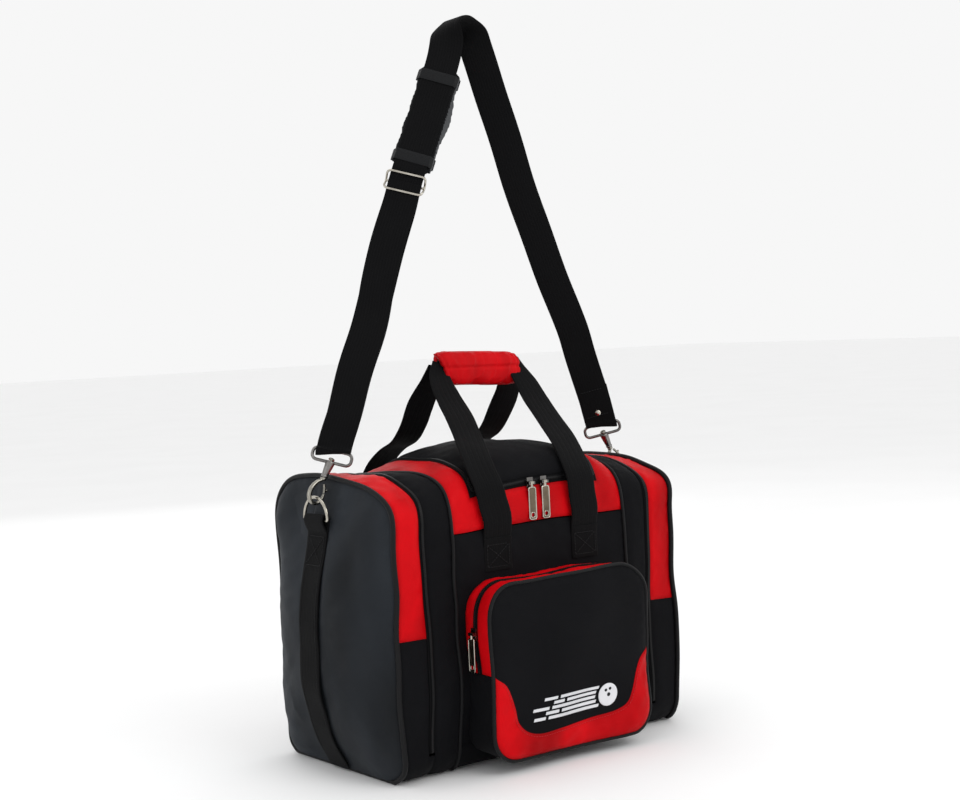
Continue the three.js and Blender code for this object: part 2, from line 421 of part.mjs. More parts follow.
// frame of a strand: d along it, w across it, n out of its face
function strand(from, to) {
  const d = to.clone().sub(from).normalize();
  const w = FACE.clone().addScaledVector(d, -FACE.dot(d)).normalize();
  return { d, w, n: w.clone().cross(d).normalize() };
}
const LEFT_TOP = V(-80.6, 0, 641.5); // upper end of the doubled left strand
const LEFT_LOOP = V(-192, 0, 344.5), RIGHT_LOOP = V(194, 0, 348), RIGHT_NEXT = V(175.5, 0, 411);
let rightEnd;
for (const s of [-1, 1]) {
  const side = s < 0 ? "left" : "right";
  const ringTop = V(s * RING_X, 0, RING_Z + RING_R);
  const loopAt = s < 0 ? LEFT_LOOP : RIGHT_LOOP;
  const axis = loopAt.clone().sub(ringTop).normalize(); // the hook's long axis, which it swivels about
  const across = V(0, -1, 0).cross(axis).normalize(); // the hook lies square to the ring's wire
  const at = (k) => ringTop.clone().addScaledVector(axis, k);
  const flat = (shape, t) => place(extrude(shape, t), across, axis, V(0, 1, 0), ringTop.clone().add(V(0, -t / 2, 0)));
  // snap hook: bow, swivel pin and pin head
  const bow = stripShape([[-8.4, 7.4], [-8.6, 3], [-6.8, -2.9], [-3.5, -5.8], [0, -6.6], [3.5, -5.8], [6.8, -2.9], [8.6, 3], [8.2, 9], [5.2, 16], [1.7, 19.6], [0, 22.2]], 2.2);
  add(`${side}_snap_hook`, join(flat(bow, 4.4), rod(at(19.5), at(45.2), 2), rod(at(44.6), at(47), 3.4)), METAL);
  add(`${side}_hook_gate`, flat(stripShape([[-8.3, 8.5], [-6.6, 13.2], [-4.2, 17.4]], 1.5), 3.4), METAL);
  // swivel loop: barrel on the pin and a flat loop for the webbing, turned to face with the strap
  const { d, w, n } = strand(loopAt, s < 0 ? LEFT_TOP : RIGHT_NEXT);
  const frame = roundRect(-LOOP_WIDTH / 2, LOOP_WIDTH / 2, -LOOP_HEIGHT / 2, LOOP_HEIGHT / 2, 7);
  frame.holes.push(roundRect(-LOOP_WIDTH / 2 + LOOP_WIRE, LOOP_WIDTH / 2 - LOOP_WIRE, -LOOP_HEIGHT / 2 + LOOP_WIRE, LOOP_HEIGHT / 2 - LOOP_WIRE, 3.6, true));
  const centre = at(42.3).addScaledVector(d, LOOP_HEIGHT / 2 - 2.2);
  const ring = place(extrude(frame, LOOP_WIRE, 5), w, d, n, centre.clone().addScaledVector(n, -LOOP_WIRE / 2));
  add(`${side}_swivel_loop`, cut(join(ring, rod(at(23.6), at(42.8), 5.3)), rod(at(22), at(48), 2.5)), METAL);
  // webbing folded round the loop's upper bar
  const bar = centre.clone().addScaledVector(d, LOOP_HEIGHT / 2 - LOOP_WIRE / 2);
  const eye = rod(bar.clone().addScaledVector(w, -WEB / 2), bar.clone().addScaledVector(w, WEB / 2), 5.6);
  const hole = rod(bar.clone().addScaledVector(w, -WEB), bar.clone().addScaledVector(w, WEB), 3.5);
  if (s < 0)
    add("strap_left_loop", cut(join(ribbon([bar.clone().addScaledVector(d, 4), LEFT_TOP], [FACE], WEB, 4.4), eye), hole), WEBBING);
  else {
    rightEnd = bar.clone().addScaledVector(d, 48);
    add("strap_right_end", cut(join(ribbon([bar.clone().addScaledVector(d, 4), rightEnd], [FACE], WEB, 4.4), eye), hole), WEBBING);
  }
}
{
  // single webbing from the slider over the top to the right end
  const up = strand(LEFT_LOOP, LEFT_TOP);
  const start = LEFT_TOP.clone().addScaledVector(up.d, GAP + 1.4), p = strand(start, V(-20, 0, 780));
  const left = [start, V(-20, 0, 780), V(-10, 0, 804), V(-3, 0, 819), V(4.5, 0, 830)];
  const right = [V(4.5, 0, 830), V(12, 0, 819), V(21, 0, 803), V(35, 0, 767), V(62, 0, 698), V(90, 0, 629), V(115.5, 0, 558), V(145.5, 0, 485), V(161.5, 0, 449),
    V(175.5, 0, 411), rightEnd.clone().add(V(0, 0, GAP + 0.3))];
  right[9] = rightEnd.clone().add(V(-3.4, 0, 12));
  const top = place(box(-19, 19, -12, 12, -2, 2), FACE, V(0, 0, 1), FACE.clone().cross(V(0, 0, 1)), V(4.5, 0, 822));
  add("strap_main", join(ribbon(left, [FACE], WEB, 2.2), ribbon(right, [FACE], WEB, 2.2), top), WEBBING);
  // slider: outer bars in front of the webbing, middle bar behind it
  const g = join(
    box(-23.5, -20.2, -13, 13, -4.6, 4.6), box(20.2, 23.5, -13, 13, -4.6, 4.6),
    box(-23, 23, 10, 13, 2.8, 4.6), box(-23, 23, -13, -10, 2.8, 4.6), box(-23, 23, -1.6, 1.6, -4.6, -2.8));
  add("strap_adjuster", place(g, up.w, up.d, up.n, LEFT_TOP.clone().addScaledVector(up.d, -2)), METAL);
  // shoulder pad behind the webbing, held by two keepers
  const mid = start.clone().addScaledVector(p.d, 78);
  const pad = join(
    place(extrude(roundRect(-23.5, 23.5, -60, 60, 6), 7, 4), V(1, 0, 0), V(0, 1, 0), V(0, 0, 1), V(0, 0, -8.8)),
    ...[-1, 1].flatMap((k) => [box(-25, 25, k * 50 - 6, k * 50 + 6, 1.9, 3.1), box(-25, -23.3, k * 50 - 6, k * 50 + 6, -8.6, 3.1), box(23.3, 25, k * 50 - 6, k * 50 + 6, -8.6, 3.1)]));
  add("shoulder_pad", place(pad, p.w, p.d, p.n, mid), FOAM);
}

export default root;
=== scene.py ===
# Looks of the bowling bag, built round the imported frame. Lengths in the tables are millimetres.
import math

import bpy
import bmesh
import numpy as np
from mathutils import Vector, Matrix
from mathutils.kdtree import KDTree


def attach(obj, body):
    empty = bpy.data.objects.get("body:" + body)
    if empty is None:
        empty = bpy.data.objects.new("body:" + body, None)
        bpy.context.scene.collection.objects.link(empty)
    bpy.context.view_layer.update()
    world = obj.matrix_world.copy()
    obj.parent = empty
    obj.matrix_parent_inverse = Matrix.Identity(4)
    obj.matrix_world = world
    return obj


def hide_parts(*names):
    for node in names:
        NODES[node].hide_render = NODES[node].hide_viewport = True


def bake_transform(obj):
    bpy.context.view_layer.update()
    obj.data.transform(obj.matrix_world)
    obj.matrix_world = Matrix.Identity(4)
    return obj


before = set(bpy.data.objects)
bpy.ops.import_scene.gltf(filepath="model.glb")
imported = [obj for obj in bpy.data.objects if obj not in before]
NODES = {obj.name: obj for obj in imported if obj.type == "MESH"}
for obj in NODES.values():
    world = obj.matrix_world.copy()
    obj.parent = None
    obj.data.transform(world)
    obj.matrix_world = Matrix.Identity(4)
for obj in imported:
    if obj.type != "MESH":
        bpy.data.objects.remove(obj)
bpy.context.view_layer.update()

TAU = 2 * math.pi
scene = bpy.context.scene

# ---------------------------------------------------------------- shape tools
def unit(a):
    a = np.asarray(a, float)
    return a / np.maximum(np.linalg.norm(a, axis=-1, keepdims=True), 1e-12)


def smooth(t):
    t = np.clip(t, 0, 1)
    return t * t * (3 - 2 * t)


def spec(p, lam, seed, k=9):
    """Soft noise of about unit strength whose features are lam long."""
    r = np.random.RandomState(seed)
    d = unit(r.normal(size=(k, 3)))
    l = lam * r.uniform(0.7, 1.5, k)
    return np.sin(p @ (d / l[:, None]).T * TAU + r.uniform(0, TAU, k)).sum(1) / math.sqrt(k / 2)


def along(p, lam, direction, stretch, seed):
    """The same, drawn out along a direction, as creases are."""
    d = unit(direction)
    return spec(p - np.outer(p @ d * (1 - 1 / stretch), d), lam, seed)


def crease(s, sharp=2.5):
    return (1 - np.minimum(np.abs(s), 1)) ** sharp


def spline(pts, step=4.0):
    """A smooth line through the points, resampled at about the step."""
    p = np.asarray(pts, float)
    if len(p) == 2:
        n = max(2, int(np.linalg.norm(p[1] - p[0]) / step) + 1)
        return p[0] + np.linspace(0, 1, n)[:, None] * (p[1] - p[0])
    e = np.vstack([2 * p[0] - p[1], p, 2 * p[-1] - p[-2]])
    out = []
    for i in range(1, len(e) - 2):
        a, b, c, d = e[i - 1], e[i], e[i + 1], e[i + 2]
        t0, t1 = 0.0, np.linalg.norm(b - a) ** 0.5
        t2 = t1 + np.linalg.norm(c - b) ** 0.5
        t3 = t2 + np.linalg.norm(d - c) ** 0.5
        n = max(2, int(np.linalg.norm(c - b) / step) + 1)
        for t in np.linspace(t1, t2, n, endpoint=False):
            a1 = (t1 - t) / (t1 - t0) * a + (t - t0) / (t1 - t0) * b
            a2 = (t2 - t) / (t2 - t1) * b + (t - t1) / (t2 - t1) * c
            a3 = (t3 - t) / (t3 - t2) * c + (t - t2) / (t3 - t2) * d
            b1 = (t2 - t) / (t2 - t0) * a1 + (t - t0) / (t2 - t0) * a2
            b2 = (t3 - t) / (t3 - t1) * a2 + (t - t1) / (t3 - t1) * a3
            out.append((t2 - t) / (t2 - t1) * b1 + (t - t1) / (t2 - t1) * b2)
    out.append(p[-1])
    return np.array(out)


def resample(p, step, closed=False):
    p = np.asarray(p, float)
    if closed:
        p = np.vstack([p, p[:1]])
    s = np.concatenate([[0], np.cumsum(np.linalg.norm(np.diff(p, axis=0), axis=1))])
    n = max(3, int(round(s[-1] / step)) + 1)
    t = np.linspace(0, s[-1], n)
    q = np.stack([np.interp(t, s, p[:, k]) for k in range(p.shape[1])], 1)
    return q[:-1] if closed else q


def line_length(p):
    return np.concatenate([[0], np.cumsum(np.linalg.norm(np.diff(p, axis=0), axis=1))])


# ---------------------------------------------------------------- mesh tools
def put(name, co, faces, uvs, mats, body, rep=(), index=None, seam=None, sharp=40, fix=True):
    """A piece from points in mm, faces and one UV in mm for each face corner."""
    if body == "bag":                                                     # what rests on the floor is pressed flat on it
        co = np.array(co, float)
        low = co[:, 2] < 0.3
        co[low, 2] = 0.3 * np.exp((co[low, 2] - 0.3) / 0.8)
    me = bpy.data.meshes.new(name)
    me.from_pydata((np.asarray(co) * 0.001).tolist(), [], [list(map(int, f)) for f in faces])
    uv = me.uv_layers.new(name="Cloth")
    uv.data.foreach_set("uv", (np.asarray(uvs, np.float32) * 0.001).ravel())
    for m in mats if isinstance(mats, (list, tuple)) else [mats]:
        me.materials.append(m)
    if index is not None:
        me.polygons.foreach_set("material_index", np.asarray(index, np.int32))
    a = me.attributes.new("seam", "FLOAT", "POINT")
    a.data.foreach_set("value", np.asarray(seam if seam is not None else np.full(len(co), 1.0), np.float32))
    if fix:
        bm = bmesh.new()
        bm.from_mesh(me)
        bmesh.ops.recalc_face_normals(bm, faces=bm.faces)
        bm.to_mesh(me)
        bm.free()
    me.shade_smooth()
    if sharp:
        me.set_sharp_from_angle(angle=math.radians(sharp))
    me.update()
    ob = bpy.data.objects.new(name, me)
    scene.collection.objects.link(ob)
    if body:
        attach(ob, body)
    if rep:
        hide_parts(*rep)
    return ob


def grid(name, U, V, fn, t, mats, keep=None, wrap=False, body="bag", rep=(), relief=None,
         tuck=0.9, pillow=1.2, seamw=7.0, planar=None, index=None, bend=None, cap=False):
    """A fabric panel over a grid of the surface fn: an outer and an inner face, rolled in at its seams."""
    U, V = np.asarray(U, float), np.asarray(V, float)
    nu, nv = len(U), len(V)
    uu, vv = np.meshgrid(U, V, indexing="ij")
    P, N = fn(uu.ravel(), vv.ravel())
    P3 = P.reshape(nu, nv, 3)
    SU = np.concatenate([[0], np.cumsum(np.linalg.norm(np.diff(P3, axis=0), axis=2).mean(1))])
    close = np.linalg.norm(P3[:, 0] - P3[:, -1], axis=1).mean()
    SV = np.concatenate([[0], np.cumsum(np.linalg.norm(np.diff(P3, axis=1), axis=2).mean(0))])
    SV = np.append(SV, SV[-1] + close)
    cols = nv if wrap else nv - 1
    K = np.ones((nu - 1, cols), bool)
    if keep is not None:
        for i in range(nu - 1):
            for j in range(cols):
                K[i, j] = keep(i, j)
    ii, jj = np.nonzero(K)
    # number of kept cells round each vertex tells the border
    count = np.zeros((nu, nv), int)
    for di in (0, 1):
        for dj in (0, 1):
            np.add.at(count, (ii + di, (jj + dj) % nv), 1)
    used = count.ravel() > 0
    edge = (count.ravel() < 4) & used
    if cap:
        edge &= uu.ravel() != U[-1]
    tree = KDTree(int(edge.sum()))
    for k, q in enumerate(P[edge]):
        tree.insert(Vector(q), k)
    tree.balance()
    d = np.zeros(len(P))
    for k in np.nonzero(used & ~edge)[0]:
        d[k] = tree.find(Vector(P[k]))[2]
    su, sv = np.repeat(SU, nv), np.tile(SV[:nv], nu)
    h = pillow * (1 - np.exp(-d / seamw)) - tuck * np.exp(-((d / 1.7) ** 2))
    if relief is not None:
        h = h + relief(P, N, su, sv, d)
    bend = bend or sag
    outer, inner = bend(P + N * h[:, None]), bend(P - N * t)
    n = nu * nv
    co = np.vstack([outer, inner])
    faces, uvs, mi = [], [], []

    def add(a, b, c, e, ua, ub, uc, ue, m):
        faces.append((a, b, c, e))
        uvs.extend((ua, ub, uc, ue))
        mi.append(m)

    for i, j in zip(ii, jj):
        j1 = (j + 1) % nv
        a, b, c, e = i * nv + j, (i + 1) * nv + j, (i + 1) * nv + j1, i * nv + j1
        if planar is None:
            q = [(SU[i], SV[j]), (SU[i + 1], SV[j]), (SU[i + 1], SV[j + 1]), (SU[i], SV[j + 1])]
        else:
            q = [planar(P[k]) for k in (a, b, c, e)]
        m = index(i, j) if index else 0
        add(a, b, c, e, *q, m)
        add(e + n, c + n, b + n, a + n, q[3], q[2], q[1], q[0], m)

        def on(x, y):
            if x < 0 or x >= nu - 1:
                return False
            if wrap:
                y %= cols
            return 0 <= y < cols and K[x, y]

        def side(p1, p2, q1, q2):
            add(p2, p1, p1 + n, p2 + n, q2, q1, (q1[0] + t, q1[1] + t), (q2[0] + t, q2[1] + t), m)

        if not on(i, j - 1):
            side(a, b, q[0], q[1])
        if not on(i + 1, j) and not (cap and i == nu - 2):
            side(b, c, q[1], q[2])
        if not on(i, j + 1):
            side(c, e, q[2], q[3])
        if not on(i - 1, j):
            side(e, a, q[3], q[0])
    if cap:  # closes the small ring in the middle of a round panel
        r = [(nu - 1) * nv + j for j in range(nv)]
        for ring in (r, [k + n for k in reversed(r)]):
            faces.append(tuple(ring))
            uvs.extend(planar(P[k % n]) if planar else (0, 0) for k in ring)
            mi.append(0)
    full = np.concatenate([used, used])
    new = np.cumsum(full) - 1
    faces = [tuple(new[k] for k in f) for f in faces]
    return put(name, co[full], faces, uvs, mats, body, rep, mi, np.concatenate([d, d])[full])


def frames(p, closed=False, up=None):
    """Tangent and two normals along a line, with as little twist as can be."""
    n = len(p)
    if closed:
        t = unit(np.roll(p, -1, 0) - np.roll(p, 1, 0))
    else:
        t = unit(np.gradient(p, axis=0))
    a = np.array(up if up is not None else (0.0, 0.0, 1.0))
    if abs(t[0] @ a) > 0.9 and up is None:
        a = np.array((1.0, 0.0, 0.0))
    u = [unit(a - t[0] * (a @ t[0]))]
    for i in range(1, n):
        v = u[-1] - t[i] * (u[-1] @ t[i])
        u.append(unit(v))
    u = np.array(u)
    if closed:  # the leftover twist is spread along the loop
        v = u[-1] - t[0] * (u[-1] @ t[0])
        v = unit(v)
        ang = math.atan2(np.cross(v, u[0]) @ t[0], v @ u[0])
        k = ang * np.arange(n) / n
        w = np.cross(t, u)
        u = u * np.cos(k)[:, None] + w * np.sin(k)[:, None]
    return t, u, np.cross(t, u)


def tube_data(p, r, sides=10, closed=False, caps=True, flat=1.0, up=None):
    """Points, faces and UVs of a round tube on a line."""
    p = np.asarray(p, float)
    r = np.broadcast_to(np.asarray(r, float), (len(p),))
    t, u, w = frames(p, closed, up)
    a = np.arange(sides) / sides * TAU
    co = p[:, None] + r[:, None, None] * (np.cos(a)[None, :, None] * u[:, None] + flat * np.sin(a)[None, :, None] * w[:, None])
    co = co.reshape(-1, 3)
    s = line_length(np.vstack([p, p[:1]]) if closed else p)
    faces, uvs = [], []
    n = len(p)
    rr = float(r.mean())
    for i in range(n if closed else n - 1):
        i1 = (i + 1) % n
        for k in range(sides):
            k1 = (k + 1) % sides
            faces.append((i * sides + k, i * sides + k1, i1 * sides + k1, i1 * sides + k))
            uvs += [(k / sides * TAU * rr, s[i]), ((k + 1) / sides * TAU * rr, s[i]), ((k + 1) / sides * TAU * rr, s[i + 1]), (k / sides * TAU * rr, s[i + 1])]
    if not closed and caps:
        faces.append(tuple(range(sides - 1, -1, -1)))
        faces.append(tuple((n - 1) * sides + k for k in range(sides)))
        uvs += [(rr * math.cos(x), rr * math.sin(x)) for x in a[::-1]]
        uvs += [(rr * math.cos(x), rr * math.sin(x)) for x in a]
    return co, faces, uvs


def merge(parts):
    co, faces, uvs, o = [], [], [], 0
    for c, f, q in parts:
        co.append(c)
        faces += [tuple(k + o for k in x) for x in f]
        uvs += list(q)
        o += len(c)
    return np.vstack(co), faces, uvs


def tube(name, p, r, mat, body="bag", closed=False, sides=10, rep=(), flat=1.0, up=None):
    co, f, uv = tube_data(p, r, sides, closed, flat=flat, up=up)
    return put(name, co, f, uv, mat, body, rep)


def band_data(p, wdir, w, t, ripple=None, taper=None, m=22, tags=None):
    """A strip of webbing with round selvedges on a line, wide along wdir."""
    p = np.asarray(p, float)
    tan = unit(np.gradient(p, axis=0))
    wd = np.broadcast_to(np.asarray(wdir, float), p.shape)
    wd = unit(wd - tan * (wd * tan).sum(1)[:, None])
    nn = unit(np.cross(wd, tan))
    a = (np.arange(m) + 0.5) / m * TAU
    ca, sa = np.cos(a), np.sin(a)
    x = np.sign(ca) * np.abs(ca) ** 0.28 * w / 2
    y = np.sign(sa) * np.abs(sa) ** 0.55 * t / 2
    y = y * (1 - 0.10 * np.cos(x / w * TAU * 1.0))
    n = len(p)
    s = line_length(p)
    sc = np.ones(n) if taper is None else np.asarray(taper, float)
    co = p[:, None] + (x[None] * sc[:, None])[..., None] * wd[:, None] + y[None, :, None] * nn[:, None]
    if ripple is not None:
        co = co + ripple(co.reshape(-1, 3), np.repeat(s, m)).reshape(n, m, 1) * nn[:, None]
    co = co.reshape(-1, 3)
    faces, uvs = [], []
    for i in range(n - 1):
        for k in range(m):
            k1 = (k + 1) % m
            faces.append((i * m + k, i * m + k1, (i + 1) * m + k1, (i + 1) * m + k))
            uvs += [(x[k], s[i]), (x[k1], s[i]), (x[k1], s[i + 1]), (x[k], s[i + 1])]
    faces.append(tuple(range(m - 1, -1, -1)))
    faces.append(tuple((n - 1) * m + k for k in range(m)))
    uvs += [(x[k], y[k]) for k in range(m - 1, -1, -1)] + [(x[k], y[k]) for k in range(m)]
    return co, faces, uvs


def band(name, p, wdir, w, t, mat, body, rep=(), slot="webbing", **kw):
    co, f, uv = band_data(p, wdir, w, t, **kw)
    return put(name, co, f, uv, mat, body, rep)


def stitches(name, lines, mat, body, pitch=3.4, gap=0.9, r=0.34, sides=6, bent=None):
    """Thread stitches along lines of (points, normals): each a small bead of thread that dips in at its ends."""
    parts = []
    for pts, nor in lines:
        p = np.asarray(pts, float)
        nor = np.broadcast_to(np.asarray(nor, float), p.shape)
        s = line_length(p)
        k = max(1, int(s[-1] / pitch))
        for q in range(k):
            a = q * pitch + gap / 2
            b = min(a + pitch - gap, s[-1])
            if b - a < 0.8:
                continue
            t = np.linspace(a, b, 5)
            c = np.stack([np.interp(t, s, p[:, i]) for i in range(3)], 1)
            m = np.stack([np.interp(t, s, nor[:, i]) for i in range(3)], 1)
            c = c + unit(m) * (np.array([-0.35, 0.12, 0.25, 0.12, -0.35]) * r / 0.34)[:, None]
            parts.append(tube_data(c, r * np.array([0.6, 1, 1.1, 1, 0.6]), sides))
    if not parts:
        return None
    co, f, uv = merge(parts)
    if bent is not None:
        co = bent(co)
    return put(name, co, f, uv, mat, body, (), sharp=60)


# ---------------------------------------------------------------- the bag's own surface
HALF_LENGTH, D, TOPZ, CROWN, CROWN_HALF, R, S = 195.0, 113.0, 316.0, 30.0, 121.0, 30.0, 258.0
POWER = 2 / 3.2
V_LID, V_HINGE = 3 + 17.1 / 90, 3 + 125 / 90


def wall_v(z):
    return 2 + (z - R) / (S - R)


V_RED = wall_v(150)


def crown(x, ang):
    a = np.minimum(np.abs(x) / CROWN_HALF, 1)
    return TOPZ + CROWN * (1 - a ** 2.4) * (1 - smooth((ang - 90) / 35))


def section(x, v):
    x, v = np.broadcast_arrays(np.asarray(x, float), np.asarray(v, float))
    v = np.mod(v, 8.0)
    m = v > 5
    b = np.where(m, 8 - v, v)
    t1 = np.radians(90 * (b - 1))
    ang = (b - 3) * 90
    c, s = np.cos(np.radians(ang)), np.clip(np.sin(np.radians(ang)), 0, 1)
    h = crown(x, ang)
    y = np.select([b <= 1, b <= 2, b <= 3], [-(D - R) * b, -(D - R) - R * np.sin(t1), -D + 0 * b], -D * np.sign(c) * np.abs(c) ** POWER)
    z = np.select([b <= 1, b <= 2, b <= 3], [0 * b, R - R * np.cos(t1), R + (S - R) * (b - 2)], S + (h - S) * s ** POWER)
    return np.where(m, -y, y), z


def skin(x, v):
    """Points of the bag's surface and their outward normals."""
    x = np.asarray(x, float)
    v = np.asarray(v, float)
    y, z = section(x, v)
    e = 2e-3
    y0, z0 = section(x, v - e)
    y1, z1 = section(x, v + e)
    n = unit(np.stack([np.zeros_like(y), -(z1 - z0), y1 - y0], 1))
    return np.stack([np.broadcast_to(x, y.shape), y, z], 1), n


HELD = [((-218.6, 0, 277), 36), ((218.6, 0, 277), 36), ((-1.5, -115, 292), 40), ((-158, 117, 72), 22), ((158, 117, 72), 22),
        ((-114, -131, 150), 30), ((-62, -114, 246), 26), ((62, -114, 246), 26), ((-62, 114, 246), 26), ((62, 114, 246), 26)]


def sag(p):
    """How the whole bag sits: the walls belly out, the top gives a little, and nothing moves where hard parts are."""
    p = np.asarray(p, float)
    q = p.copy()
    x, y, z = p.T
    hold = np.ones(len(p))
    for c, r in HELD:
        hold = hold * (1 - np.exp(-((p - np.array(c)) ** 2).sum(1) / r ** 2))
    f = hold * smooth(z / 16)
    side = np.tanh(y / 60)
    wall = np.sin(math.pi * np.clip(z, 0, 262) / 262)
    q[:, 1] += f * side * (3.0 * wall + 1.5 * spec(p, 170, 11) + 0.7 * spec(p, 80, 17))
    q[:, 0] += f * np.tanh(x / 140) * (1.2 * spec(p, 150, 12) + 0.8 * spec(p, 75, 18))
    q[:, 2] += hold * smooth((z - 40) / 200) * (1.7 * spec(p, 150, 13) + 0.6 * spec(p, 70, 19))
    q[:, 2] -= hold * 5.0 * smooth((x - 140) / 50) * smooth((z - 200) / 100)
    q[:, 2] -= hold * 2.5 * smooth((-x - 165) / 30) * smooth((z - 230) / 80) * np.exp(-((y + 40) / 60) ** 2)
    return q


def cloth_relief(seed, big=0.9, small=0.35, pucker=0.45, direction=(1, 0, 0.35), cre=0.5):
    """Wrinkles of a panel: broad waves, finer drawn-out creases and the puckers along its seams."""
    def f(P, N, su, sv, d):
        w = smooth(d / 22)
        h = big * w * along(P, 62, direction, 2.2, seed) * 0.6
        h = h + small * smooth(d / 9) * spec(P, 24, seed + 1) * 0.5
        lines = crease(along(P, 46, direction, 3.0, seed + 2)) - 0.25
        area = smooth(spec(P, 90, seed + 3) * 0.8 + 0.2)
        h = h + cre * w * lines * area
        h = h + pucker * np.exp(-d / 6.0) * (1 - np.exp(-d / 1.5)) * spec(P, 10, seed + 4)
        return h
    return f


def vs(a, b, step=3.4, x=0.0):
    """Section values from a to b about the step apart on the surface."""
    t = np.linspace(a, b, 600)
    y, z = section(np.full_like(t, x), t)
    s = line_length(np.stack([y, z], 1))
    n = max(3, int(round(s[-1] / step)) + 1)
    return np.interp(np.linspace(0, s[-1], n), s, t)


def xs(a, b, step=3.4):
    return np.linspace(a, b, max(3, int(round(abs(b - a) / step)) + 1))


# ---------------------------------------------------------------- materials
def begin(name):
    m = bpy.data.materials.new(name)
    m.use_nodes = True
    nt = m.node_tree
    nt.nodes.clear()
    out = nt.nodes.new("ShaderNodeOutputMaterial")
    b = nt.nodes.new("ShaderNodeBsdfPrincipled")
    nt.links.new(b.outputs[0], out.inputs[0])
    return m, nt, b


def link(nt, a, b):
    nt.links.new(a, b)


def calc(nt, op, a, b=None, clamp=False):
    n = nt.nodes.new("ShaderNodeMath")
    n.operation = op
    n.use_clamp = clamp
    for k, v in enumerate((a, b)):
        if v is None:
            continue
        if isinstance(v, (int, float)):
            n.inputs[k].default_value = v
        else:
            nt.links.new(v, n.inputs[k])
    return n.outputs[0]


def noise(nt, vec, scale, detail=3.0, rough=0.55, dims=None):
    n = nt.nodes.new("ShaderNodeTexNoise")
    n.inputs["Scale"].default_value = scale
    n.inputs["Detail"].default_value = detail
    n.inputs["Roughness"].default_value = rough
    nt.links.new(vec, n.inputs["Vector"])
    return n.outputs["Fac"]


def ramp(nt, fac, lo, hi, c1, c2):
    n = nt.nodes.new("ShaderNodeValToRGB")
    e = n.color_ramp.elements
    e[0].position, e[1].position = lo, hi
    e[0].color, e[1].color = (*c1, 1), (*c2, 1)
    nt.links.new(fac, n.inputs[0])
    return n.outputs[0]


def mix(nt, fac, a, b, mode="MIX"):
    n = nt.nodes.new("ShaderNodeMix")
    n.data_type = "RGBA"
    n.blend_type = mode
    for k, v in ((0, fac), (6, a), (7, b)):
        if isinstance(v, tuple):
            n.inputs[k].default_value = (*v, 1) if len(v) == 3 else v
        elif isinstance(v, (int, float)):
            n.inputs[k].default_value = v
        else:
            nt.links.new(v, n.inputs[k])
    return n.outputs[2]


def span(nt, v, a, b, c=0.0, d=1.0):
    n = nt.nodes.new("ShaderNodeMapRange")
    n.inputs[1].default_value, n.inputs[2].default_value = a, b
    n.inputs[3].default_value, n.inputs[4].default_value = c, d
    nt.links.new(v, n.inputs[0])
    return n.outputs[0]


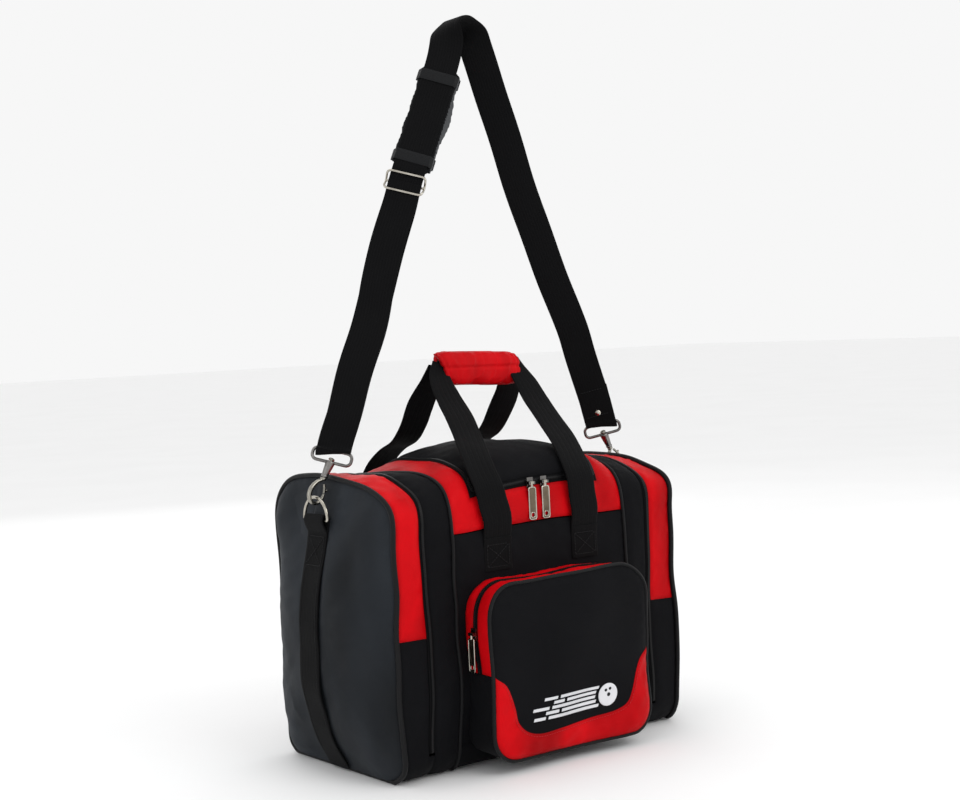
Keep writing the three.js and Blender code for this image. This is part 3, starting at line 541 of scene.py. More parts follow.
def cloth(name, dark, light, rough=0.75, pitch=1.1, kind="plain", depth=0.18, sheen=0.25, sheen_rough=0.4, spec_level=0.35,
          vary=0.10, seam_shade_and_dust=0.25, thread=0.25, tint=(1, 1, 1), coat=0.0, fuzz=0.12):
    """Woven fabric: a weave at thread scale, uneven dye, lighter worn high spots, and a darkening by the seams that is
    partly dust and partly painted shade of the seam recesses.
    """
    m, nt, b = begin(name)
    uv = nt.nodes.new("ShaderNodeUVMap")
    uv.uv_map = "Cloth"
    tc = nt.nodes.new("ShaderNodeTexCoord")
    obj = tc.outputs["Object"]
    sep = nt.nodes.new("ShaderNodeSeparateXYZ")
    wob = noise(nt, uv.outputs[0], 260, 2)
    link(nt, uv.outputs[0], sep.inputs[0])
    k = TAU / (pitch * 0.001)
    shift = calc(nt, "MULTIPLY", calc(nt, "SUBTRACT", wob, 0.5), 2.6)
    u = calc(nt, "ADD", calc(nt, "MULTIPLY", sep.outputs[0], k), shift)
    v = calc(nt, "ADD", calc(nt, "MULTIPLY", sep.outputs[1], k), shift)
    if kind == "plain":
        h = calc(nt, "MULTIPLY", calc(nt, "SINE", u), calc(nt, "SINE", v))
        h = calc(nt, "ADD", calc(nt, "MULTIPLY", h, 0.5), 0.5)
    elif kind == "twill":
        a = calc(nt, "SINE", calc(nt, "ADD", u, v))
        h = calc(nt, "ADD", calc(nt, "MULTIPLY", a, 0.35), calc(nt, "ADD", calc(nt, "MULTIPLY", calc(nt, "SINE", calc(nt, "MULTIPLY", u, 2.0)), 0.15), 0.5))
    elif kind == "satin":
        a = calc(nt, "SINE", calc(nt, "ADD", calc(nt, "MULTIPLY", u, 0.5), v))
        h = calc(nt, "ADD", calc(nt, "MULTIPLY", a, 0.4), 0.5)
    else:  # webbing: ribs along the strip crossed by picks that slant to and fro
        zig = calc(nt, "PINGPONG", sep.outputs[0], 0.0032)
        a = calc(nt, "SINE", calc(nt, "ADD", v, calc(nt, "MULTIPLY", zig, k * 1.1)))
        rib = calc(nt, "ABSOLUTE", calc(nt, "SINE", calc(nt, "MULTIPLY", sep.outputs[0], TAU / 0.0064)))
        h = calc(nt, "ADD", calc(nt, "MULTIPLY", a, 0.3), calc(nt, "ADD", calc(nt, "MULTIPLY", rib, 0.4), 0.3))
    big = noise(nt, obj, 9, 4)
    mid = noise(nt, obj, 55, 3)
    fine = noise(nt, obj, 900, 2)
    c = ramp(nt, calc(nt, "ADD", calc(nt, "MULTIPLY", big, 0.6), calc(nt, "MULTIPLY", mid, 0.4)), 0.5 - 0.22, 0.5 + 0.22, dark, light)
    lift = tuple(min(1.0, x * 1.8 + 0.003) for x in light)
    c = mix(nt, calc(nt, "MULTIPLY", calc(nt, "POWER", h, 2.0), thread), c, lift)
    c = mix(nt, calc(nt, "MULTIPLY", span(nt, fine, 0.55, 0.8), fuzz), c, lift)
    # darker within 5 mm of a seam: painted shade of the seam recess, partly also dust
    at = nt.nodes.new("ShaderNodeAttribute")
    at.attribute_name = "seam"
    edge = span(nt, at.outputs["Fac"], 0.0, 5.0, 1.0, 0.0)
    c = mix(nt, calc(nt, "MULTIPLY", calc(nt, "MULTIPLY", edge, mid), seam_shade_and_dust), c, tuple(x * 0.45 for x in dark))
    link(nt, c, b.inputs["Base Color"])
    r = calc(nt, "ADD", calc(nt, "MULTIPLY", calc(nt, "SUBTRACT", mid, 0.5), vary * 2), calc(nt, "MULTIPLY", calc(nt, "SUBTRACT", 1.0, h), 0.10))
    r = calc(nt, "ADD", r, rough, clamp=True)
    link(nt, r, b.inputs["Roughness"])
    bump = nt.nodes.new("ShaderNodeBump")
    bump.inputs["Strength"].default_value = 0.6
    bump.inputs["Distance"].default_value = depth * 0.001
    hh = calc(nt, "ADD", h, calc(nt, "MULTIPLY", fine, 0.5))
    hh = calc(nt, "ADD", hh, calc(nt, "MULTIPLY", noise(nt, obj, 160, 3), 1.4))
    link(nt, hh, bump.inputs["Height"])
    link(nt, bump.outputs[0], b.inputs["Normal"])
    b.inputs["Sheen Weight"].default_value = sheen
    b.inputs["Sheen Roughness"].default_value = sheen_rough
    b.inputs["Sheen Tint"].default_value = (*tint, 1)
    b.inputs["Specular IOR Level"].default_value = spec_level
    b.inputs["Coat Weight"].default_value = coat
    b.inputs["Coat Roughness"].default_value = 0.35
    return m


def metal(name, c1, c2, rough=0.22, scratch=0.25, dirt=0.25):
    """Plated metal with fine scratches, uneven polish and scattered spots of tarnish."""
    m, nt, b = begin(name)
    tc = nt.nodes.new("ShaderNodeTexCoord")
    obj = tc.outputs["Object"]
    mp = nt.nodes.new("ShaderNodeMapping")
    mp.inputs["Scale"].default_value = (1.0, 7.0, 0.6)
    link(nt, obj, mp.inputs[0])
    lines = noise(nt, mp.outputs[0], 700, 4, 0.7)
    spots = noise(nt, obj, 220, 4)
    cloud = noise(nt, obj, 60, 3)
    c = ramp(nt, cloud, 0.3, 0.7, c1, c2)
    c = mix(nt, calc(nt, "MULTIPLY", span(nt, spots, 0.58, 0.72), dirt), c, tuple(x * 0.35 for x in c1))
    link(nt, c, b.inputs["Base Color"])
    b.inputs["Metallic"].default_value = 1.0
    r = calc(nt, "ADD", calc(nt, "MULTIPLY", calc(nt, "SUBTRACT", cloud, 0.5), 0.22), calc(nt, "ADD", calc(nt, "MULTIPLY", span(nt, lines, 0.55, 0.75), scratch), rough), clamp=True)
    link(nt, r, b.inputs["Roughness"])
    bump = nt.nodes.new("ShaderNodeBump")
    bump.inputs["Strength"].default_value = 0.25
    bump.inputs["Distance"].default_value = 0.00005
    link(nt, calc(nt, "ADD", lines, calc(nt, "MULTIPLY", spots, 0.6)), bump.inputs["Height"])
    link(nt, bump.outputs[0], b.inputs["Normal"])
    return m


def grain(name, c1, c2, rough, size=300, depth=0.12, spec_level=0.4):
    """Foam, board or moulded plastic: a grain of cells with uneven colour."""
    m, nt, b = begin(name)
    tc = nt.nodes.new("ShaderNodeTexCoord")
    obj = tc.outputs["Object"]
    vo = nt.nodes.new("ShaderNodeTexVoronoi")
    vo.inputs["Scale"].default_value = size
    link(nt, obj, vo.inputs["Vector"])
    n = noise(nt, obj, 30, 4)
    c = ramp(nt, n, 0.3, 0.7, c1, c2)
    c = mix(nt, calc(nt, "MULTIPLY", vo.outputs["Distance"], 0.5), c, tuple(x * 0.5 for x in c1))
    link(nt, c, b.inputs["Base Color"])
    link(nt, calc(nt, "ADD", calc(nt, "MULTIPLY", n, 0.15), rough - 0.07, clamp=True), b.inputs["Roughness"])
    bump = nt.nodes.new("ShaderNodeBump")
    bump.inputs["Strength"].default_value = 0.5
    bump.inputs["Distance"].default_value = depth * 0.001
    link(nt, vo.outputs["Distance"], bump.inputs["Height"])
    link(nt, bump.outputs[0], b.inputs["Normal"])
    b.inputs["Specular IOR Level"].default_value = spec_level
    return m


BLACK = cloth("black_polyester", (0.0022, 0.0022, 0.0028), (0.0048, 0.0049, 0.0060), rough=0.66, pitch=1.15, depth=0.22, sheen=0.015, spec_level=0.06)
LINING = cloth("black_lining", (0.004, 0.004, 0.0045), (0.008, 0.008, 0.009), rough=0.58, pitch=0.7, depth=0.10, sheen=0.02, spec_level=0.12)
GREY = cloth("charcoal_polyester", (0.0115, 0.0140, 0.0180), (0.0190, 0.0230, 0.0290), rough=0.62, pitch=1.15, depth=0.24, sheen=0.05, tint=(0.75, 0.85, 1.0), spec_level=0.16)

def paint_fold_shade(m, low, size, mapping, lo=0.36, hi=0.66):
    """Painted shade of broad slanting folds: drawn-out cloudy darkening multiplied into a cloth's colour."""
    nt = m.node_tree
    b = next(n for n in nt.nodes if n.type == "BSDF_PRINCIPLED")
    src = b.inputs["Base Color"].links[0].from_socket
    tc = nt.nodes.new("ShaderNodeTexCoord")
    mp = nt.nodes.new("ShaderNodeMapping")
    mp.inputs["Rotation"].default_value = mapping[0]
    mp.inputs["Scale"].default_value = mapping[1]
    link(nt, tc.outputs["Object"], mp.inputs[0])
    n = noise(nt, mp.outputs[0], size, 2, 0.45)
    g = ramp(nt, n, lo, hi, (low, low, low), (1.0, 1.0, 1.0))
    link(nt, mix(nt, 1.0, src, g, "MULTIPLY"), b.inputs["Base Color"])


# painted shade of soft diagonal folds on the charcoal end panels
paint_fold_shade(GREY, 0.30, 6.5, ((math.radians(38), 0, 0), (1.0, 1.9, 0.62)))
RED = cloth("red_satin", (0.46, 0.0010, 0.0034), (0.64, 0.0020, 0.0060), rough=0.42, pitch=0.75, kind="satin", depth=0.08, sheen=0.01, tint=(1.0, 0.3, 0.25), spec_level=0.06, thread=0.08, fuzz=0.04, seam_shade_and_dust=0.6)
GRIP_RED = cloth("red_grip_satin", (0.42, 0.0010, 0.0030), (0.60, 0.0018, 0.0052), rough=0.40, pitch=0.75, kind="satin", depth=0.08, sheen=0.01, tint=(1.0, 0.3, 0.25), spec_level=0.07, thread=0.08, fuzz=0.04, seam_shade_and_dust=0.6)
# painted shade of folds on the red satin and on the grip
paint_fold_shade(RED, 0.62, 9.0, ((0, math.radians(30), 0), (1.6, 1.2, 0.7)), 0.34, 0.56)
paint_fold_shade(GRIP_RED, 0.80, 22.0, ((0, math.radians(-35), 0), (1.8, 1.0, 0.7)), 0.34, 0.58)
WEBBING = cloth("black_webbing", (0.0020, 0.0020, 0.0023), (0.0046, 0.0046, 0.0050), rough=0.76, pitch=1.5, kind="web", depth=0.42, sheen=0.03, sheen_rough=0.5, spec_level=0.05, thread=0.30)
TAPE = cloth("zip_tape", (0.0020, 0.0020, 0.0024), (0.0046, 0.0046, 0.0052), rough=0.72, pitch=0.8, kind="twill", depth=0.12, sheen=0.02, spec_level=0.05)
PIPING = cloth("piping_tape", (0.0026, 0.0026, 0.0030), (0.0058, 0.0058, 0.0066), rough=0.50, pitch=0.8, kind="twill", depth=0.10, sheen=0.03, spec_level=0.16)
PAD = cloth("pad_cover", (0.0030, 0.0030, 0.0035), (0.0066, 0.0066, 0.0075), rough=0.76, pitch=1.3, depth=0.3, sheen=0.04, spec_level=0.10)
KEEPER = cloth("keeper_tape", (0.0048, 0.0050, 0.0056), (0.0090, 0.0094, 0.0104), rough=0.6, pitch=0.9, kind="twill", depth=0.16, sheen=0.04, spec_level=0.14)
BINDING = cloth("grey_binding", (0.040, 0.042, 0.045), (0.072, 0.075, 0.079), rough=0.6, pitch=0.8, kind="twill", depth=0.12, sheen=0.05, spec_level=0.2)
THREAD = cloth("black_thread", (0.0060, 0.0060, 0.0066), (0.0120, 0.0120, 0.0132), rough=0.5, pitch=0.5, kind="satin", depth=0.06, sheen=0.03, spec_level=0.2)
RED_THREAD = cloth("red_thread", (0.34, 0.004, 0.007), (0.55, 0.006, 0.012), rough=0.5, pitch=0.5, kind="satin", depth=0.06, sheen=0.03, spec_level=0.25)
WHITE_THREAD = cloth("white_thread", (0.62, 0.63, 0.66), (0.86, 0.87, 0.90), rough=0.38, pitch=0.42, kind="satin", depth=0.16, sheen=0.25, spec_level=0.6, thread=0.2)
NICKEL = metal("nickel_plate", (0.36, 0.335, 0.285), (0.56, 0.53, 0.465), 0.17)
GUNMETAL = metal("gunmetal", (0.13, 0.125, 0.12), (0.24, 0.23, 0.22), 0.26)
STEEL = metal("dark_nickel", (0.20, 0.19, 0.165), (0.38, 0.36, 0.315), 0.20)
BRONZE = metal("pull_panel", (0.11, 0.085, 0.060), (0.20, 0.16, 0.115), 0.30)
TEETH = grain("nylon_teeth", (0.004, 0.004, 0.0045), (0.009, 0.009, 0.010), 0.38, 900, 0.03, 0.2)
BOARD = grain("wrapped_board", (0.010, 0.010, 0.011), (0.020, 0.020, 0.022), 0.62, 500, 0.10)
FOAM = grain("moulded_foam", (0.018, 0.018, 0.020), (0.032, 0.032, 0.034), 0.85, 260, 0.25)

# ---------------------------------------------------------------- main panels
GAPV = 0.15 / 228
HALF_MID = 121.7
grid("front_panel_cloth", xs(-HALF_MID, HALF_MID), vs(2 + GAPV, 3 - GAPV), skin, 2.5, BLACK, rep=["front_panel"],
     relief=cloth_relief(21, 1.0, 0.4, 0.5, (0.35, 0, 1)))
grid("back_panel_cloth", xs(-HALF_MID, HALF_MID), vs(V_HINGE + 0.018, 6 - GAPV), skin, 2.5, BLACK, rep=["back_panel"],
     relief=cloth_relief(22, 1.2, 0.45, 0.5, (0.5, 0, 1)))
grid("bottom_panel_cloth", xs(-HALF_MID, HALF_MID, 5), np.concatenate([vs(6 + GAPV, 8 - 1e-6, 5), vs(0, 2 - GAPV, 5)[1:] + 8]), skin, 2.5, BLACK,
     rep=["bottom_panel"], relief=lambda P, N, su, sv, d: 0.25 * spec(P, 30, 31) * smooth((P[:, 2] - 1) / 8), pillow=0.0, tuck=0.5)

yu = np.concatenate([xs(-HALF_MID, -93, 3.2), xs(-93, 93, 3.4)[1:-1], xs(93, HALF_MID, 3.2)])
yv = np.concatenate([vs(3 + GAPV, V_LID, 3.0), vs(V_LID, V_HINGE, 3.4)[1:]])
grid("red_yoke_cloth", yu, yv, skin, 2.5, RED, keep=lambda i, j: yu[i + 1] <= -93 + 1e-6 or yu[i] >= 93 - 1e-6 or yv[j + 1] <= V_LID + 1e-9,
     rep=["red_yoke"], relief=cloth_relief(23, 0.9, 0.35, 0.7, (1, 0.6, 0.2), cre=0.45), pillow=1.4)

lu = np.concatenate([np.linspace(-92.7, -86.0, 5), xs(-86, 86, 4)[1:-1], np.linspace(86.0, 92.7, 5)])
V_ZIP = V_LID + 0.075
lv = np.concatenate([np.linspace(V_LID + 0.0045, V_ZIP, 5), vs(V_ZIP, V_HINGE - 0.004, 4)[1:]])
grid("lid_zip_tape", lu, lv, skin, 1.6, TAPE, keep=lambda i, j: lu[i + 1] <= -86 + 1e-6 or lu[i] >= 86 - 1e-6 or lv[j + 1] <= V_ZIP + 1e-9,
     body="lid", rep=["lid_zip"], pillow=0.2, tuck=0.3)
grid("lid_cloth", xs(-85.7, 85.7), vs(V_ZIP + 0.004, V_HINGE - 0.004), skin, 2.5, BLACK, body="lid", rep=["lid_panel"],
     relief=cloth_relief(24, 1.5, 0.45, 0.5, (1, 0.3, 0), cre=0.7), pillow=1.8, seamw=10)


def end_point(s, x0=197.3):
    def f(q, v):
        y, z = section(np.full_like(q, 160.0), v)
        yy, zz = y * q, 158 + (z - 158) * q
        b = (36 + (24 - 36) * smooth((zz - 150) / 110)) * (1 - q ** 3)
        return np.stack([s * (x0 + b), yy, zz], 1)
    return f


def with_normals(f, out):
    """Adds normals to a surface, on the side that out(points) says is outward."""
    def g(u, v):
        e = 1e-3
        P = f(u, v)
        a = f(u + e, v) - f(u - e, v)
        b = f(u, v + e) - f(u, v - e)
        n = unit(np.cross(a, b))
        flip = np.sign((n * out(P)).sum(1))
        flip[flip == 0] = 1
        return P, n * flip[:, None]
    return g


def side_out(s):
    return lambda P: np.tile((float(s), 0.0, 0.0), (len(P), 1))


for s, side in ((-1, "left"), (1, "right")):
    xr = (lambda a, b, st=3.2: np.sort(s * xs(a, b, st)))
    seed = 40 if s < 0 else 60
    grid(f"{side}_band_cloth", xr(122, 154, 2.9), vs(0, 8, 3.4, 140)[:-1], skin, 2.5, BLACK, wrap=True, rep=[f"{side}_band"],
         relief=lambda P, N, su, sv, d: cloth_relief(seed, 0.8, 0.3, 0.6, (0.2, 0, 1))(P, N, su, sv, d) * smooth(P[:, 2] / 10), pillow=1.6, seamw=8)
    grid(f"{side}_gusset_red_cloth", xr(162.3, 194.7, 2.9), vs(V_RED + GAPV, 8 - V_RED - GAPV, 3.2, 170), skin, 2.5, RED, rep=[f"{side}_gusset_red"],
         relief=cloth_relief(seed + 5, 1.1, 0.4, 0.8, (0.9, 0.25, 0.25), cre=0.5), pillow=1.8, seamw=9)
    gu = np.concatenate([xs(154.3, 162.3, 4), xs(162.3, 194.7, 3.2)[1:]])
    gu = np.sort(s * gu)
    gv = np.concatenate([vs(8 - V_RED + GAPV, 8 - 1e-6, 3.6, 170), vs(0, V_RED - GAPV, 3.6, 170)[1:] + 8])
    grid(f"{side}_gusset_black_cloth", gu, gv, skin, 2.5, BLACK, keep=lambda i, j: abs(gu[i] + gu[i + 1]) / 2 > 162.3 or (gv[j] >= 6 and gv[j + 1] <= 10),
         rep=[f"{side}_gusset_black"],
         relief=lambda P, N, su, sv, d: cloth_relief(seed + 9, 0.8, 0.35, 0.6, (0.4, 0, 1))(P, N, su, sv, d) * smooth(P[:, 2] / 10), pillow=1.2)
    grid(f"{side}_end_zip_tape", np.sort(s * np.linspace(154.3, 162, 5)), vs(2 + 2 * GAPV, 6 - 2 * GAPV, 3.2, 158), skin, 1.6, TAPE,
         rep=[f"{side}_end_zip"], pillow=0.1, tuck=0.3)

    def end_relief(P, N, su, sv, d, s=s, seed=seed):
        w = smooth(d / 30)
        dr = (0, 0.55 if s < 0 else -0.55, 1)
        h = 1.9 * w * along(P, 95, dr, 2.2, seed + 20) + 0.8 * w * along(P, 48, (0, 1, 0.8), 2.0, seed + 21)
        h += 1.1 * w * (crease(along(P, 60, dr, 3.5, seed + 22)) - 0.25) * smooth(spec(P, 110, seed + 23) + 0.3)
        h += 0.25 * spec(P, 22, seed + 24) * smooth(d / 10)
        h += 0.6 * np.exp(-d / 8) * (1 - np.exp(-d / 2)) * spec(P, 12, seed + 25)
        web = np.exp(-(np.maximum(np.abs(P[:, 1]) - 15, 0) / 7) ** 2)  # the webbing sewn down the middle holds the cloth flat
        return h * (1 - 0.85 * web)

    eq = 1 - np.linspace(0, 0.985, 46) ** 1.0
    grid(f"{side}_end_cloth", eq, vs(0, 8, 3.4, 160)[:-1], with_normals(end_point(s), side_out(s)), 2.4, GREY, wrap=True, rep=[f"{side}_end_panel"],
         relief=end_relief, pillow=1.0, planar=lambda p: (p[1], p[2]), cap=True)

    def wall(q, v, s=s):
        y, z = section(np.full_like(q, 160.0), v)
        p, n = skin(np.full_like(q, 160.0), v)
        y, z = y - n[:, 1] * 3.1, z - n[:, 2] * 3.1
        return np.stack([np.full_like(y, s * 153.2), y * q, 158 + (z - 158) * q], 1)

    grid(f"{side}_divider_cloth", 1 - np.linspace(0, 0.98, 24), vs(0, 8, 7, 160)[:-1], with_normals(wall, side_out(s)), 2.0, LINING, wrap=True,
         rep=[f"{side}_divider"], planar=lambda p: (p[1], p[2]), cap=True, pillow=0.2, tuck=0.2,
         relief=lambda P, N, su, sv, d: 0.5 * spec(P, 60, 33) * smooth(d / 20), bend=lambda p: p)

    # piping along the seam of the end panel and along the middle seam
    t = vs(0, 8, 3.6, 196)[:-1]
    P, N = skin(np.full_like(t, 196.0), t)
    P[:, 0] *= s
    P[:, 2] = np.maximum(P[:, 2], 0)
    path = sag(P + N * 0.9 + np.array([s * 1.2, 0, 0]))
    path[:, 2] = np.maximum(path[:, 2], 2.6)
    tube(f"{side}_end_piping", path, 2.75, PIPING, closed=True, sides=12)
    P, N = skin(np.full_like(t, 121.9), t)
    P[:, 0] *= s
    path = sag(P + N * 0.9)
    path[:, 2] = np.maximum(path[:, 2], 1.9)
    tube(f"{side}_middle_piping", path, 1.9, PIPING, closed=True, sides=10)


# ---------------------------------------------------------------- zips
def teeth(name, p, nor, body, pitch=2.3, bent=None, mat=None):
    """The interlocked coil of a zip on a line, with its outward normals: two staggered rows of rounded teeth."""
    p = np.asarray(p, float)
    s = line_length(p)
    tan = unit(np.gradient(p, axis=0))
    nor = unit(np.broadcast_to(nor, p.shape))
    parts = []
    prof = np.array([[-1.9, 0.0], [-1.7, 0.75], [-0.9, 1.05], [0.35, 0.95], [0.75, 0.45], [0.6, 0.0]])
    for k in range(int(s[-1] / pitch * 2)):
        t = (k + 0.5) * pitch / 2
        if t > s[-1] - 0.5:
            break
        c = np.array([np.interp(t, s, p[:, i]) for i in range(3)])
        n = unit(np.array([np.interp(t, s, nor[:, i]) for i in range(3)]))
        d = unit(np.array([np.interp(t, s, tan[:, i]) for i in range(3)]))
        w = np.cross(n, d) * (1 if k % 2 else -1)
        m = len(prof)
        ring = [c + w * a + n * b for a, b in prof]
        co = np.array([q - d * 0.62 for q in ring] + [q + d * 0.62 for q in ring])
        f = [(i, i + 1, m + i + 1, m + i) for i in range(m - 1)] + [(m - 1, 0, m, 2 * m - 1), tuple(range(m - 1, -1, -1)), tuple(range(m, 2 * m))]
        parts.append((co, f, [(0, 0)] * sum(len(x) for x in f)))
    co, f, uv = merge(parts)
    if bent is not None:
        co = bent(co)
    return put(name, co, f, uv, mat or TEETH, body, (), sharp=30)


def seam_line(x, v):
    P, N = skin(np.full_like(v, x) if np.isscalar(x) else x, v)
    return P, N


for s, side in ((-1, "left"), (1, "right")):
    v = vs(2 + 4 * GAPV, 6 - 4 * GAPV, 2.5, 158)
    P, N = seam_line(158.2, v)
    P[:, 0] *= s
    teeth(f"{side}_end_zip_teeth", sag(P) + N * 0.1, N, "bag")
# lid zip: up the left side, along the front and back down the right side
vm = V_LID + 0.042
v_side = vs(V_HINGE - 0.02, vm + 0.03, 2.4, 89)
left_leg = np.stack([np.full_like(v_side, -89.4), v_side], 1)
front_leg = np.stack([np.linspace(-86.5, 86.5, 70), np.full(70, vm)], 1)
right_leg = np.stack([np.full_like(v_side, 89.4), v_side[::-1]], 1)
uvz = np.vstack([left_leg, front_leg, right_leg])
P, N = skin(uvz[:, 0], uvz[:, 1])
teeth("lid_zip_teeth", sag(P) + N * 0.1, N, "lid")

# ---------------------------------------------------------------- front pocket
PX, PZ0, PZ1, PY, PFOLD = 110.0, 17.0, 206.0, -158.0, 108.0


def outline(step=2.6, inset=0.0):
    pts = []

    def arc(cx, cz, r, a0, a1):
        for a in np.radians(np.linspace(a0, a1, 14)):
            pts.append((cx + r * math.cos(a), cz + r * math.sin(a)))

    rb, rt = 28 - inset, 38 - inset
    x, z0, z1 = PX - inset, PZ0 + inset, PZ1 - inset
    arc(-x + rb, z0 + rb, rb, 180, 270)
    arc(x - rb, z0 + rb, rb, 270, 360)
    arc(x - rt, z1 - rt, rt, 0, 90)
    arc(-x + rt, z1 - rt, rt, 90, 180)
    p = np.array(pts)
    # starts at the left fold point and runs down, along the bottom, up the right and over the top
    q = resample(p, step, closed=True)
    k = np.argmin(np.abs(q[:, 1] - PFOLD) + (q[:, 0] > 0) * 1e3)
    return np.roll(q, -k, axis=0)


def inside(x, z):
    """Distance inside the pocket's outline."""
    cx, cz = np.abs(x), z - (PZ0 + PZ1) / 2
    r = np.where(cz > 0, 38.0, 28.0)
    qx, qz = cx - PX + r, np.abs(cz) - (PZ1 - PZ0) / 2 + r
    return -(np.hypot(np.maximum(qx, 0), np.maximum(qz, 0)) + np.minimum(np.maximum(qx, qz), 0) - r)


def slouch(p):
    """The pocket hangs a little: its lower edge drops and its sides bow."""
    q = sag(p)
    x, y, z = np.asarray(p, float).T
    out = smooth((-y - 116) / 40)
    hold = 1 - np.exp(-((p - np.array((-114, -131, 150))) ** 2).sum(1) / 32 ** 2)
    q[:, 2] -= out * 3.2 * smooth((70 - z) / 50) * (1 - 0.45 * (x / 110) ** 2)
    q[:, 0] += hold * out * 1.3 * np.tanh(x / 60) * np.sin(math.pi * np.clip((z - 17) / 189, 0, 1))
    q[:, 1] -= out * 1.8 * smooth((90 - z) / 70)
    return q


def face_y(x, z):
    d = np.clip(inside(x, z), 0, None)
    p = np.stack([x, np.full_like(x, PY), z], 1)
    puff = 1.6 + 4.2 * (1 - np.exp(-d / 16)) + 2.2 * np.exp(-((x / 75) ** 2) - (((z - 95) / 60) ** 2))
    wr = 0.7 * smooth(d / 18) * along(p, 58, (1, 0, 0.5), 2.0, 71) + 0.45 * smooth(d / 18) * (crease(along(p, 44, (1, 0, -0.6), 3, 72)) - 0.25)
    wr += 0.45 * np.exp(-d / 7) * (1 - np.exp(-d / 1.6)) * spec(p, 10, 73)
    return PY + 1.6 - puff * (1 - np.exp(-d / 2.2)) - wr


ring0 = outline(2.6, 0.6)
n0 = len(ring0)
centre = np.array((0.0, 112.0))
qs = 1 - np.linspace(0, 0.985, 40)
co, seamv = [], []
for q in qs:
    xz = centre + (ring0 - centre) * q
    co.append(np.stack([xz[:, 0], face_y(xz[:, 0], xz[:, 1]), xz[:, 1]], 1))
    seamv.append(np.clip(inside(xz[:, 0], xz[:, 1]), 0, None))
outer_pts = np.vstack(co)
inner_pts = outer_pts.copy()
inner_pts[:, 1] = outer_pts[:, 1] + 2.2
allco = slouch(np.vstack([outer_pts, inner_pts]))
nn_ = len(outer_pts)
faces, uvs = [], []


def fuv(*ks):
    return [(outer_pts[k % nn_][0], outer_pts[k % nn_][2]) for k in ks]


for i in range(len(qs) - 1):
    for j in range(n0):
        a, b, c, e = i * n0 + j, i * n0 + (j + 1) % n0, (i + 1) * n0 + (j + 1) % n0, (i + 1) * n0 + j
        faces.append((a, b, c, e))
        uvs += fuv(a, b, c, e)
        faces.append((e + nn_, c + nn_, b + nn_, a + nn_))
        uvs += fuv(e, c, b, a)
for j in range(n0):
    a, b = j, (j + 1) % n0
    faces.append((b, a, a + nn_, b + nn_))
    uvs += fuv(b, a, a, b)
last = [(len(qs) - 1) * n0 + j for j in range(n0)]
faces.append(tuple(last))
uvs += fuv(*last)
faces.append(tuple(k + nn_ for k in reversed(last)))
uvs += fuv(*reversed(last))
face = put("pocket_face_cloth", allco, faces, uvs, BLACK, None, ["pocket_face_lower", "pocket_face_upper"], None, np.concatenate(seamv * 2))
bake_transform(face)

# piping round the face
ring1 = outline(2.6, -0.4)
pp = np.stack([ring1[:, 0], np.full(len(ring1), PY + 1.6), ring1[:, 1]], 1)
pip = tube("pocket_piping", slouch(pp), 2.1, PIPING, body=None, closed=True, sides=10)
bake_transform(pip)

# red trim swept along the bottom of the face
SW = np.array([(-108, 107), (-96, 98), (-89, 84), (-84, 70), (-80, 56), (-70, 46), (-54, 41), (-20, 42), (20, 44), (58, 47), (72, 53), (80, 66), (87, 84), (95, 98), (108, 107)], float)
sw = resample(spline(np.column_stack([SW, np.zeros(len(SW))]), 2.0)[:, :2], 2.6)
low = outline(1.0, 1.6)
low = low[: int(np.argmin(np.hypot(low[:, 0] - PX + 1.6, low[:, 1] - PFOLD))) + 1]
m_ = len(sw)
ls = line_length(low)
lowr = np.stack([np.interp(np.linspace(0, ls[-1], m_), ls, low[:, k]) for k in range(2)], 1)
# matches points across the trim by their place along it
rows = 12
tr = []
for k in range(rows):
    xz = sw + (lowr - sw) * (k / (rows - 1))
    tr.append(xz)
tr = np.array(tr)
dist = np.minimum(np.linalg.norm(tr - sw[None], axis=2), np.linalg.norm(tr - lowr[None], axis=2)).ravel()
flat = tr.reshape(-1, 2)
pfl = np.stack([flat[:, 0], np.zeros(len(flat)), flat[:, 1]], 1)
yy = face_y(flat[:, 0], flat[:, 1]) - 0.35 - 1.0 * (1 - np.exp(-dist / 2.2)) - 0.35 * smooth(dist / 6) * spec(pfl, 20, 74) - 0.4 * smooth(dist / 5) * crease(along(pfl, 26, (1, 0, 0.2), 2.5, 75))
oc = np.stack([flat[:, 0], yy, flat[:, 1]], 1)
ic = np.stack([flat[:, 0], face_y(flat[:, 0], flat[:, 1]) + 0.5, flat[:, 1]], 1)
k0 = len(oc)
faces, uvs = [], []
tu = lambda *ks: [(flat[k % k0][0], flat[k % k0][1]) for k in ks]
for i in range(rows - 1):
    for j in range(m_ - 1):
        a, b, c, e = i * m_ + j, i * m_ + j + 1, (i + 1) * m_ + j + 1, (i + 1) * m_ + j
        faces += [(a, b, c, e), (e + k0, c + k0, b + k0, a + k0)]
        uvs += tu(a, b, c, e) + tu(e, c, b, a)
rim = [j for j in range(m_)] + [i * m_ + m_ - 1 for i in range(1, rows)] + [(rows - 1) * m_ + j for j in range(m_ - 2, -1, -1)] + [i * m_ for i in range(rows - 2, 0, -1)]
for a, b in zip(rim, rim[1:] + rim[:1]):
    faces.append((a, a + k0, b + k0, b))
    uvs += tu(a, a, b, b)
trim = put("pocket_trim_cloth", slouch(np.vstack([oc, ic])), faces, uvs, RED, None, ["pocket_trim"], None, np.concatenate([dist, dist]))
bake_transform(trim)
# stitching inside the trim's edge
st = sw + unit(np.column_stack([np.gradient(sw[:, 1]), -np.gradient(sw[:, 0])])) * 2.6
st = st[2:-2]
sy = face_y(st[:, 0], st[:, 1]) - 1.25
stl = stitches("pocket_trim_stitches", [(slouch(np.stack([st[:, 0], sy, st[:, 1]], 1)), (0, -1, 0))], RED_THREAD, None, pitch=3.6)
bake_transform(stl)


